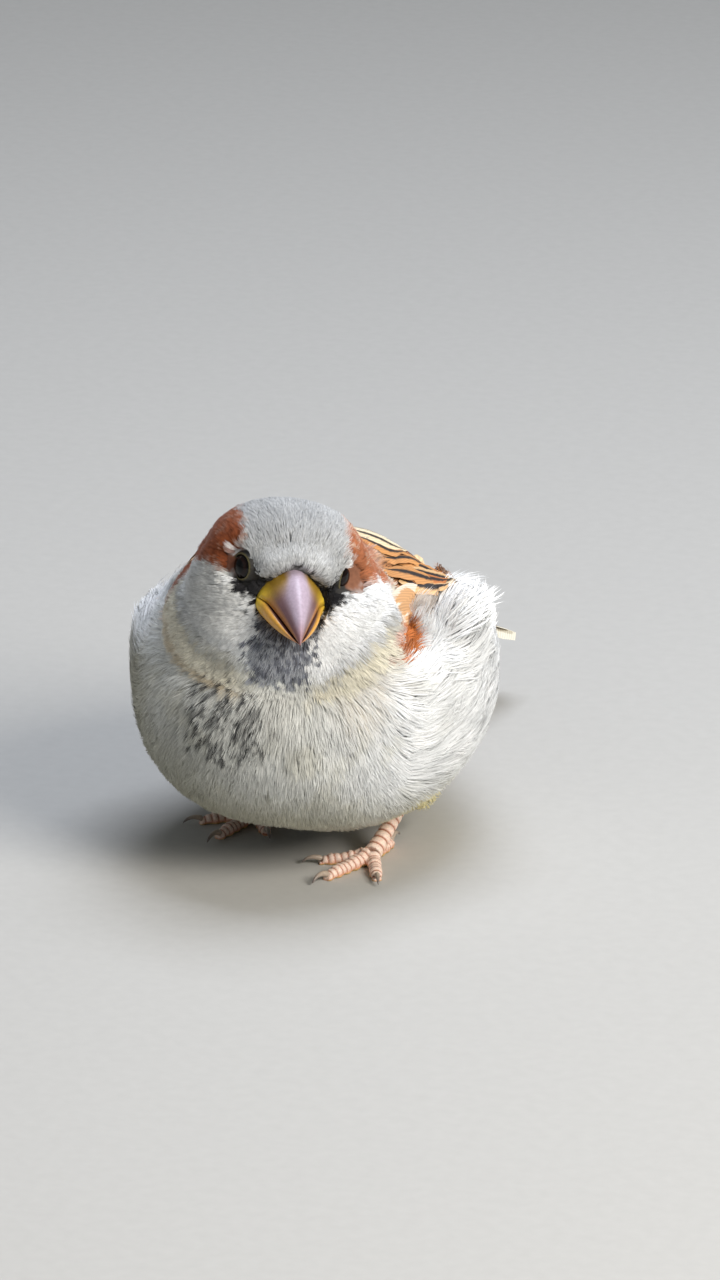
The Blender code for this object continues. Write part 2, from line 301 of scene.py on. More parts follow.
def mesh_from_arrays(name: str, points: Array, faces: Sequence[Array]) -> Mesh:
    """Makes one mesh of many small pieces.

    Args:
        name: The mesh's name.
        points: All corner points.
        faces: Arrays of corner numbers, one array for each count of sides.

    Returns:
        The mesh.
    """
    mesh = bpy.data.meshes.new(name)
    corners = np.concatenate([block.ravel() for block in faces])
    sizes = np.concatenate([np.full(len(block), block.shape[1]) for block in faces])
    mesh.vertices.add(len(points))
    mesh.vertices.foreach_set("co", np.asarray(points, np.float32).ravel())
    mesh.loops.add(len(corners))
    mesh.loops.foreach_set("vertex_index", corners.astype(np.int32))
    mesh.polygons.add(len(sizes))
    mesh.polygons.foreach_set("loop_start", np.concatenate([[0], np.cumsum(sizes)[:-1]]).astype(np.int32))
    mesh.update(calc_edges=True)
    shade_smooth(mesh)
    return mesh


def paint_points(mesh: Mesh, name: str, colours: Array) -> None:
    """Stores one linear colour for each point of a mesh.

    Args:
        mesh: The mesh.
        name: The attribute's name.
        colours: The colours, one row for each point.
    """
    layer = mesh.attributes.new(name, "FLOAT_COLOR", "POINT")
    full = np.ones((len(colours), 4), np.float32)
    full[:, :3] = colours
    layer.data.foreach_set("color", full.ravel())


def mark_points(mesh: Mesh, name: str, values: Array) -> None:
    """Stores one number for each point of a mesh."""
    layer = mesh.attributes.new(name, "FLOAT", "POINT")
    layer.data.foreach_set("value", np.asarray(values, np.float32))


def map_points(mesh: Mesh, name: str, places: Array) -> None:
    """Gives a mesh a UV map.

    Args:
        mesh: The mesh.
        name: The map's name.
        places: One place for each of the mesh's points.
    """
    layer = mesh.uv_layers.new(name=name)
    corners = np.empty(len(mesh.loops), np.int32)
    mesh.loops.foreach_get("vertex_index", corners)
    layer.data.foreach_set("uv", np.asarray(places, np.float32)[corners].ravel())


def points_of(mesh: Mesh) -> Array:
    """Reads a mesh's points."""
    points = np.empty(len(mesh.vertices) * 3, np.float32)
    mesh.vertices.foreach_get("co", points)
    return points.reshape(-1, 3).astype(float)


def normals_of(mesh: Mesh) -> Array:
    """Reads the smooth normal at each of a mesh's points."""
    normals = np.empty(len(mesh.vertices) * 3, np.float32)
    mesh.vertex_normals.foreach_get("vector", normals)
    return normals.reshape(-1, 3).astype(float)


def node_shape(node: str, grow: float) -> BMesh:
    """Copies a CAD node.

    Args:
        node: The node's name.
        grow: How far the copy's surface moves outwards, in metres.

    Returns:
        The copy, with its doubles merged.
    """
    shape = bmesh.new()
    shape.from_mesh(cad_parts[node].data)
    bmesh.ops.remove_doubles(shape, verts=shape.verts, dist=0.01 * MM)
    shape.normal_update()
    for vert in shape.verts:
        vert.co += vert.normal * grow
    return shape


def remeshed(name: str, shapes: Sequence[BMesh], voxel: float) -> Mesh:
    """Fuses closed shapes to one even surface.

    Args:
        name: The mesh's name.
        shapes: The shapes, which overlap. They are freed.
        voxel: The size of the even faces, in metres.

    Returns:
        The outer surface.
    """
    joined = bmesh.new()
    for shape in shapes:
        part = mesh_of("part", shape)
        joined.from_mesh(part)
        bpy.data.meshes.remove(part)
    rough = mesh_of(name + "_rough", joined)
    holder = link_mesh(rough)
    modifier = holder.modifiers.new("fuse", "REMESH")
    modifier.mode = "VOXEL"
    modifier.voxel_size = voxel
    graph = bpy.context.evaluated_depsgraph_get()
    mesh = bpy.data.meshes.new_from_object(holder.evaluated_get(graph))
    mesh.name = name
    bpy.data.objects.remove(holder)
    bpy.data.meshes.remove(rough)
    keep_largest(mesh)
    return mesh


def keep_largest(mesh: Mesh) -> None:
    """Deletes all islands of a mesh but the one with the most points.

    Args:
        mesh: The mesh.
    """
    edges = np.empty(len(mesh.edges) * 2, np.int32)
    mesh.edges.foreach_get("vertices", edges)
    edges = edges.reshape(-1, 2)
    label = np.arange(len(mesh.vertices))
    while True:
        lowest = np.minimum(label[edges[:, 0]], label[edges[:, 1]])
        fresh = label.copy()
        np.minimum.at(fresh, edges[:, 0], lowest)
        np.minimum.at(fresh, edges[:, 1], lowest)
        fresh = fresh[fresh]
        if np.array_equal(fresh, label):
            break
        label = fresh
    biggest = np.bincount(label).argmax()
    shape = bmesh.new()
    shape.from_mesh(mesh)
    shape.verts.ensure_lookup_table()
    spare = [shape.verts[i] for i in np.flatnonzero(label != biggest)]
    bmesh.ops.delete(shape, geom=spare, context="VERTS")
    bmesh.ops.recalc_face_normals(shape, faces=shape.faces)
    shape.to_mesh(mesh)
    shape.free()


def finder_of(points: Array) -> KDTree:
    """Sorts points so that the nearest of them to any place are found quickly.

    Args:
        points: The points.

    Returns:
        What finds them.
    """
    finder = KDTree(len(points))
    for number, point in enumerate(points):
        finder.insert(point, number)
    finder.balance()
    return finder


def move_points(mesh: Mesh, points: Array) -> None:
    """Puts a mesh's points at new places."""
    mesh.vertices.foreach_set("co", points.astype(np.float32).ravel())
    mesh.update()


def smoothed(mesh: Mesh, rounds: int) -> None:
    """Evens a mesh's points out.

    Args:
        mesh: The mesh.
        rounds: How many times each point moves towards its neighbours' middle.
    """
    shape = bmesh.new()
    shape.from_mesh(mesh)
    for _ in range(rounds):
        bmesh.ops.smooth_vert(shape, verts=shape.verts, factor=0.5, use_axis_x=True, use_axis_y=True, use_axis_z=True)
    shape.to_mesh(mesh)
    shape.free()


FRONT = np.array([0.3096, -0.8992, 0.3090])  # square to the next two
ACROSS = np.array([0.9455, 0.3256, 0.0])  # from the bird's right breast to its left flank, in the trunk's frame
HEIGHT = np.array([-0.1006, 0.2922, 0.9511])  # up and leaning back over the shoulders
BACK_OUTLINE = np.array((
    (-33.0, 2.0), (-31.3, 7.0), (-30.0, 10.0), (-28.0, 11.2), (-25.3, 11.2), (-24.0, 12.4), (-21.0, 18.0),
    (-15.0, 26.0), (2.0, 26.0), (6.1, 24.1), (9.5, 23.5), (12.9, 21.8), (15.8, 19.9), (18.0, 17.5), (20.2, 16.2),
    (21.8, 14.6), (22.8, 12.0), (26.0, 10.0), (31.0, 6.0),
))  # how high the back's outline stands, from the bird's right to its left, in mm
TRUNK_MIDDLE = (37.0, 26.5)  # mm behind the front of the trunk's box and above its foot
BILL_POINT = (17.9, 3.6)  # mm ahead of the eyes and below them
EYES_AT = (0, -5.4, 6.4)  # the middle between the eyes, in the head's frame, in mm
EYE_AT, EYE_LOOKS = (6.8, -5.4, 6.3), (0.87, -0.47, 0.10)  # the left eyeball's middle, and the way it looks
HEAD_SET = (2.5, 1.5)  # degrees that the coat's head is turned to its left and tipped over
HEAD_MIDDLE = (0, 0.5, 0.5)  # of the ball that the head's feathers make, in the head's frame, in mm


@dataclass(frozen=True)
class Place:
    """Where the trunk's and the head's middles stand in the frame, and how the head is turned."""

    trunk: Array
    head: Array
    axes: Array  # rows: towards the bird's left, the back of its head, and its crown

    @classmethod
    def measured(cls) -> "Place":
        """Works the two frames out from the trunk's box, both eyes and the bill's point.

        Returns:
            The place of this bird.
        """
        low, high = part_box("trunk")
        trunk = np.array(((low.x + high.x) / 2, low.y + TRUNK_MIDDLE[0] * MM, low.z + TRUNK_MIDDLE[1] * MM))
        eyes = {side: np.array(sum(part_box(f"eye_{side}"), Vector()) / 2) for side in SIDES}
        middle = (eyes["left"] + eyes["right"]) / 2
        across = unit(eyes["left"] - eyes["right"])
        bill = points_of(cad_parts["bill_upper"].data)
        reach = bill[away(bill, middle).argmax()] - middle
        ahead = unit(reach - across * (reach @ across))
        fall = math.atan2(BILL_POINT[1], BILL_POINT[0])
        drop = np.cross(across, ahead)
        back = -ahead * math.cos(fall) + drop * math.sin(fall)
        crown = np.cross(across, back)
        axes = np.array([across, back, crown])
        origin = middle - np.array(EYES_AT) * MM @ axes
        turn, tip = (math.radians(angle) for angle in HEAD_SET)
        set_over = Matrix.Rotation(turn, 3, "Z") @ Matrix.Rotation(tip, 3, "Y")
        return cls(trunk, origin + np.array([-0.5, 0, -0.4]) * MM @ axes, np.array(set_over).T @ axes)

    def in_head(self, points: Array) -> Array:
        """Gives points in the head's own frame, in millimetres."""
        return (points - self.head) @ self.axes.T / MM

    def in_trunk(self, points: Array) -> Array:
        """Gives points from the trunk's middle, in millimetres."""
        return (points - self.trunk) / MM

    def from_head(self, places: Array) -> Array:
        """Turns places in the head's frame, in millimetres, to points of the frame."""
        return self.head + np.asarray(places) * MM @ self.axes

    def lowered(self, points: Array, margin: float) -> Array:
        """Brings points of the back down under its rounded outline, but leaves the head and the flank plumes.

        Args:
            points: Points of skin or feathers, in metres.
            margin: Millimetres they stay below the outline.

        Returns:
            The points, those that stood too high moved down.
        """
        b = self.in_trunk(points)
        across, height = b @ ACROSS, b @ HEIGHT
        limit = np.interp(across, *BACK_OUTLINE.T) + 8.0 * ease(across, 20.0, 23.0) * ease(b[:, 1], 4.0, -2.0)
        over = height - limit + margin
        soft = np.where(over > 3, over, np.log1p(np.exp(np.clip(over * 2, -40, 40))) / 2)
        behind = ease(away(self.in_head(points)), 18.5, 21.0)
        out = points.copy()
        out[:, 2] -= 0.88 * soft * behind * MM
        return out

    def eye(self, side: str) -> tuple[Array, Array]:
        """Gives an eye's middle and the way it looks."""
        sign = np.array([SIDES[side], 1, 1])
        return self.from_head(EYE_AT * sign), unit(EYE_LOOKS * sign @ self.axes)

    def round_eye(self, points: Array, side: str) -> tuple[Array, Array, Array]:
        """Measures points against an eye's line of sight.

        Args:
            points: Points of the head, in metres.
            side: Which eye.

        Returns:
            Each point's way out from the line, in metres, its distance from it, in mm, and how far ahead it lies.
        """
        middle, look = self.eye(side)
        out = points - middle
        along = out @ look
        out = out - along[:, None] * look
        return out, away(out) / MM, along


@dataclass(frozen=True)
class Tones:
    """Colours of a cock sparrow's feathers, pale to dark."""

    white: str = "#F0F2F3"
    # cheek on the bird's right, the shaded side: partly its real grey, partly painted shade
    cheek: str = "#D2D3D1"
    covert_bar: str = "#DDD3CA"
    cream: str = "#E9E4D2"
    cream_low: str = "#E9DFAE"
    ruff_rim: str = "#A98F66"
    belly: str = "#DEDFDA"
    # greyer underside: partly its real tone, partly painted shade under the body
    low_belly: str = "#C2BFAC"
    # grey-buff of the bird's right flank, the side away from the key lamp: partly its real tint, partly painted shade
    side: str = "#AAA691"
    buff: str = "#C9B48C"
    smudge: str = "#C6C3B2"
    # lower belly on the bird's right, away from the key lamp: partly real soiling, partly painted shade
    soil_and_shade: str = "#86846F"
    crown: str = "#B6B8B9"
    crown_fleck: str = "#66686B"
    chestnut: str = "#8C4722"
    chestnut_bright: str = "#B4672F"
    # painted light: the chestnut's tone on the bird's left, the lit side
    chestnut_painted_light: str = "#D08A60"
    lore: str = "#17161A"
    bib: str = "#7F838E"
    bib_fringe: str = "#C6CACF"
    fleck: str = "#121419"
    mantle: str = "#BE7F48"
    mantle_streak: str = "#2B2122"
    rump: str = "#8C8273"
    down: str = "#8D8B86"


@dataclass
class Paint:
    """Colours of each tuft: its edge barbs, its core, its tips, and how strongly the core shows."""

    edge: Array
    core: Array
    tip: Array
    streak: Array
    band: Array  # half width of the core, as a share of the tuft's
    tipward: Array  # how far the core's colour runs on into the tips

    def lay(
        self, share: Array, tone: Array, core: float = 1.0, tip: float = 1.0, dark: Array | None = None
    ) -> None:
        """Lays a tone over the tufts.

        Args:
            share: How far it covers each tuft.
            tone: The edge barbs' colour.
            core: The core's brightness against it.
            tip: The tips' brightness against it.
            dark: A colour of the core's own.
        """
        self.edge = blend(self.edge, tone, share)
        self.core = blend(self.core, tone * core if dark is None else dark, share)
        self.tip = blend(self.tip, tone * tip, share)

    def light(self, factor: Array, limit: float = math.inf) -> None:
        """Makes the tufts brighter or darker, each by its own factor, up to a limit."""
        parts = (self.edge, self.core, self.tip)
        self.edge, self.core, self.tip = (np.clip(part * factor[:, None], 0, limit) for part in parts)

    def streak_on(self, share: Array) -> None:
        """Lets the core show more strongly."""
        self.streak = self.streak + (1 - self.streak) * share


@dataclass(frozen=True)
class Markings:
    """The bird's colour pattern, laid over skin and coat alike."""

    place: Place
    tones: Tones = field(default_factory=Tones)
    dark_spots: tuple = (
        ((5.9, -10.0, 4.9), 3.5, 2.8),
        ((8.3, -7.7, 3.9), 2.3, 1.6),
        ((7.6, -8.3, 6.6), 2.3, 1.7),
    )  # before, under and over the eye, in the head's frame: middle, where it ends and where it is full, in mm

    def tone(self, name: str) -> Array:
        """Gives a tone's linear colour."""
        return hex_tone(getattr(self.tones, name))

    def crown_edge(self, x: Array) -> Array:
        """Gives the height of the cap's lower front edge at each distance from the head's middle plane."""
        return np.interp(x, [0, 3, 5.5, 7, 8.4, 9.4, 11], [8.7, 7.5, 6.8, 7.7, 9.1, 10.6, 13.5])

    def mottle(self, places: Array) -> Array:
        """Gives soft, uneven patches a few millimetres across, from about -2 to 2."""
        waves = ((0.9, 0.5, 0.7, 0.3), (-0.6, 1.1, 0.4, 1.9), (0.3, -0.4, 1.3, 4.0), (1.6, 0.9, -1.1, 5.2))
        return sum(np.sin(places @ np.array(wave[:3]) * 0.55 + wave[3]) for wave in waves)

    def masks(self, points: Array) -> dict[str, Array]:
        """Says how far each point belongs to each marking.

        Args:
            points: Points on the bird, in metres.

        Returns:
            A share from 0 to 1 for each marking and point.
        """
        h, b = self.place.in_head(points), self.place.in_trunk(points)
        (hx, y, z), (bx, by, bz) = h.T, b.T
        x, side = np.abs(hx), np.abs(bx)
        across, height = b @ ACROSS, b @ HEIGHT
        from_middle = away(h, HEAD_MIDDLE)
        on_head = ease(from_middle, 21.5, 19.0) * ease(z, -9.5, -7.0)
        cap_side = np.interp(y, [-10, -6.5, -3, 3, 9, 14, 20], [7.2, 8.4, 8.4, 8.4, 7.2, 5.2, 4.2])
        cap = ease(z, -0.6, 0.6) * ease(x - cap_side, 0.7, -0.7)
        cap = cap * np.where(y < -3, ease(z - self.crown_edge(x), -0.3, 0.3), 1.0)
        cap = cap * ease(y + z * 0.2, 19.5, 16.5)
        cheek_top = np.interp(y, [-9, -6, -2, 1, 5, 9, 13], [4.6, 4.8, 4.2, 2.4, -1.0, -5.0, -9.0])
        rear = ease(z - cheek_top, -0.6, 0.6) * ease(y, -8.4, -7.4)
        nape = ease(y, 6.0, 8.5) * ease(z, -12.0, -7.0) * ease(by, 4.0, -2.0)
        chestnut = (1 - cap) * np.maximum(rear * on_head, nape * ease(x, 19.0, 16.0) * ease(bz, 4.0, 8.0))
        ring = from_middle - 2.2 * ease(hx, -4.0, 9.0)
        shoulder = ease(np.hypot((across - 15.2) / 2.9, (height - 4.6) / 3.7), 1.15, 0.8)
        shoulder = shoulder * (1 - on_head) * ease(by, -4.0, -8.0) * (bx > 0)
        bar = ease(np.hypot((across - 19.0) / 5.5, (height - 9.6) / 1.8), 1.2, 0.8)
        collar = ease(ring, 16.6, 17.4) * ease(ring + 1.5 * ease(hx, 4.0, 10.0), 22.2, 20.6)
        ruff = collar * ease(z, 5.5, 3.0) * ease(y, 12.0, 8.0) * (1 - chestnut) * ease(x, 4.0, 7.0) * (1 - shoulder)
        folded = np.stack([x, y, z], 1)
        lore = ease(np.hypot(x / 5.2, (z - 2.9) / 5.4), 1.22, 1.08) * ease(y, -7.0, -8.0) * ease(z, -1.6, 0.4)
        for spot, clear, full in self.dark_spots:
            lore = np.maximum(lore, ease(away(folded, spot), clear, full))
        bib_half = np.interp(z, [-13, -11, -8, -4, 0, 3], [3.0, 4.0, 5.0, 5.0, 4.0, 3.4]) + 0.5 * np.sin(z * 1.9 + x)
        bib = ease(np.abs(hx + 0.3) - bib_half, 1.5, -1.3) * ease(y, -8.5, -10.0)
        bib = bib * ease(z, -13.0, -8.6) * ease(z, 4.0, 2.5)
        patch = ease(np.hypot((bx + 2.8) / 9.0, (bz + 0.2) / 7.2), 1.15, 0.55)
        over_right, over_left = away(h, (-10.2, -4.2, 8.2)) / 1.3, away(h, (8.9, -6.2, 9.2)) / 1.1
        spots = ease(np.where(hx < 0, over_right, over_left), 1.0, 0.6)
        edge = np.interp(side, [0, 14, 19, 22], [2.0, 5.0, 11.5, 18.0]) - 2.5 * ease(by, -6.0, -12.0)
        back = ease(bz - edge, -1.0, 1.0)
        mantle = back * ease(by, -17.5, -14.0) * (1 - on_head) * (1 - chestnut) * (1 - ruff) * (1 - shoulder)
        return {
            "cap": cap,
            "chestnut": chestnut,
            # the crease round the cheek pad: sunk into the skin, and darkened with painted shade
            "crease": np.exp(-(((ring - 16.9) / 0.7) ** 2)) * ease(z, 5.0, 2.0) * ease(x, 5.0, 8.0),
            "shoulder": shoulder,
            "covert_bar": bar * (1 - on_head) * ease(by, 0.0, -5.0) * (bx > 0),
            "ruff": ruff,
            "ruff_rim": ease(ring, 18.8, 21.2) * ruff * ease(hx, 0.0, -8.0),
            "cheek": on_head * (1 - cap) * (1 - chestnut) * (1 - ruff),
            "lore": np.maximum(lore * (1 - cap), ease(away(folded, (0, -9.9, 9.1)), 1.2, 0.7)),
            "bib": bib,
            "patch": patch * ease(by, -18.0, -24.0) * (1 - bib),
            "spot": np.maximum(spots, ease(away(h, (-10.2, -5.8, 3.9)), 1.2, 0.7)),
            "mantle": mantle * ease(bx, 23.5, 21.5),
            "rump": back * ease(by, 20.0, 26.0),
            # the bird's right flank only: partly real grey-buff, partly painted shade
            "side": ease(bx, -15.0, -25.0) * (1 - back) * ease(bz, 8.0, 3.0),
            # the underside, greyed by the low belly tone: partly real, partly painted shade
            "low": ease(bz, -9.0, -20.0),
            "vent": ease(by, 22.0, 34.0) * (1 - back),
        }

    def paint(self, points: Array, rng: np.random.Generator) -> Paint:
        """Colours tufts by where their visible ends lie.

        Args:
            points: Where each tuft shows.
            rng: Source of the small differences between tufts.

        Returns:
            The colours of each tuft.
        """
        count = len(points)
        points = points + rng.normal(0, 0.28 * MM, points.shape)
        m = self.masks(points)
        h, b = self.place.in_head(points), self.place.in_trunk(points)
        (hx, hy, hz), (bx, by, bz) = h.T, b.T
        chance = rng.random(count)
        white, buff, cream = self.tone("white"), self.tone("buff"), self.tone("cream")
        tones = self.tones
        washes = (
            # greyer towards the underside: partly real tone, partly painted shade
            (tones.low_belly, m["low"]),
            (white, ease(bx, 8.0, 22.0) * (1 - m["low"] * 0.6)),
            # the bird's right flank darker: partly real tint, partly painted shade
            (tones.side, m["side"] * 0.85),
            (white * 1.15, ease(bx, -20.0, -24.0) * ease(bz, 3.0, 8.0) * 0.9),
            (buff, m["vent"] * 0.5),
            (tones.smudge, ease(self.mottle(b * 0.8), 0.9, 2.2) * 0.4 * ease(by, -8.0, -20.0)),
            # darker towards the bird's lower right: partly real soiling, partly painted shade
            (tones.soil_and_shade, ease(bx, 6.0, -16.0) * ease(bz, 4.0, -12.0) * 0.75),
            (tones.cream_low, ease(bz, -17.0, -21.0) * ease(bx, 5.0, 11.0) * ease(by, -12.0, -4.0)),
        )
        edge = washed(tones.belly, washes)
        buffed = ease(np.hypot((bx - 17.5) / 4.5, (bz - 3.0) / 7.0), 1.2, 0.4) * ease(by, -12.0, -18.0)
        hair = (chance < 0.10) * ease(by, -10.0, -20.0) * (1 - buffed)
        band, tipward = np.where(hair > 0.5, 0.2, 0.42), np.where(hair > 0.5, 0.8, 0.35)
        coat = Paint(blend(edge, buff, buffed * 0.6), edge * 0.86, edge * 1.06, np.full(count, 0.5), band, tipward)
        coat.core = blend(coat.core, coat.edge * 0.45, hair)
        coat.lay(m["ruff"], cream, 0.85, 1.08)
        coat.lay(m["ruff_rim"] * 0.6, self.tone("ruff_rim"))
        speckle = np.sin(2.3 * bx + 1.4 * np.sin(0.9 * bz)) * np.sin(1.25 * bz + 1.8 * np.sin(0.8 * bx))
        fleck = (speckle + 0.9 * chance > 1.27 - 0.85 * m["patch"]).astype(float) * (m["patch"] > 0.04)
        coat.core = blend(coat.core, self.tone("fleck"), fleck)
        coat.edge = blend(coat.edge, coat.edge * 0.8, m["patch"])
        coat.streak_on(fleck)
        coat.band = np.where(fleck > 0.5, rng.uniform(0.4, 0.9, count), coat.band)
        coat.tipward = np.where(fleck > 0.5, rng.uniform(0.6, 1.0, count), coat.tipward)
        mantle = washed(tones.mantle, [(cream, ease(np.abs(bx), 13.0, 8.0) * 0.7)])
        coat.lay(m["mantle"], mantle, tip=1.15, dark=self.tone("mantle_streak"))
        coat.streak_on(m["mantle"] * (chance < 0.8))
        coat.lay(m["shoulder"], self.tone("chestnut_bright") * np.exp(rng.normal(0, 0.22, (count, 1))), 0.5, 1.5)
        coat.lay(m["covert_bar"], self.tone("covert_bar"), 0.62, 1.05)
        coat.lay(m["rump"], self.tone("rump"), 0.7, 1.1)
        # cheeks grey on the bird's right and white on its left: partly real, partly painted shade on the side away
        # from the key lamp
        coat.lay(m["cheek"], washed(tones.cheek, [(white, ease(hx, -12.5, -4.0))]), 0.9, 1.04)
        # painted shade along the crease between the cheek pad and the ruff
        coat.light(1 - 0.3 * m["crease"])
        # painted light: the cap paler at its front edge, where shade falls under the brow, and on the bird's left, the
        # lit side
        crown_painted_light = 1 + 0.28 * ease(hy, -5.0, -9.0) + 0.12 * ease(hx, 2.0, 8.0)
        coat.lay(m["chestnut"], self.tone("chestnut"), 0.5, 1.35)
        coat.lay(m["cap"], self.tone("crown") * crown_painted_light[:, None], tip=1.12, dark=self.tone("crown_fleck"))
        # painted light: the chestnut paler on the bird's left, the lit side; the cream tips are real, but more of them
        # lie on the lit side as painted light
        lit = m["chestnut"] * ease(hx, 0.0, 6.0)
        coat.lay(lit * 0.4, self.tone("chestnut_painted_light"))
        frosted = (rng.random(count) < 0.16) * m["chestnut"] * (0.35 + 0.65 * (lit > 0.3))
        coat.tip = blend(coat.tip, cream, frosted * 0.7)
        frayed = (m["bib"] > rng.uniform(0.05, 0.95, count)).astype(float)
        chin = ease(hz, -5.5, -2.5)
        pale = chance < 0.62 - 0.4 * chin
        coat.edge = blend(coat.edge, self.tone("bib") * rng.uniform(0.6, 1.5, (count, 1)), frayed)
        coat.core = blend(coat.core, self.tone("lore") * 1.6, frayed)
        fringe = np.where(pale[:, None], self.tone("bib_fringe"), self.tone("bib") * 0.8)
        coat.tip = blend(coat.tip, fringe, frayed)
        coat.band = np.where(frayed > 0.5, 0.4, coat.band)
        coat.tipward = np.where(frayed > 0.5, np.where(pale, 0.1, 0.9), coat.tipward)
        coat.streak = np.where(frayed > 0.5, 0.55 + 0.4 * chin, coat.streak)
        coat.lay(m["lore"], self.tone("lore"))
        coat.lay(m["spot"], white)
        coat.light(np.exp(rng.normal(0, 0.04, (count, 1))[:, 0] + 0.03 * self.mottle(b)), 1.0)
        return coat


@dataclass(frozen=True)
class PlumageFinish:
    """Contour feather keratin, loosely webbed: matt, soft-edged, with a faint sheen along the barbs."""

    name: str = "contour_feather"
    roughness: float = 0.72
    sheen: float = 0.18
    barb: float = 0.30  # mm, barbules drawn coarse enough to show

    def make(self) -> Material:
        """Builds the material, which takes its colour from the coat's markings."""
        rough = (self.roughness - 0.1, self.roughness + 0.1)
        grain = Grain(Pattern.NOISE, self.barb, {3: 0.86, 4: 1.12}, rough, detail={"Detail": 2.0})
        return grain.make(self.name, {"Sheen Weight": self.sheen, "Specular IOR Level": 0.3})


@dataclass(frozen=True)
class SkinFinish:
    """Bird skin under down: pale, dull and finely goose-pimpled, carrying the coat's markings."""

    name: str = "downy_skin"
    pimple: float = 0.9  # mm, spacing of the feather roots

    def make(self) -> Material:
        """Builds the material."""
        shade = {1: 0.0, 2: 0.8, 3: 0.75, 4: 1.0}
        return Grain(Pattern.CELLS, self.pimple, shade, (0.8, 0.8), (0.4, 0.1)).make(
            self.name, {"Specular IOR Level": 0.2}
        )


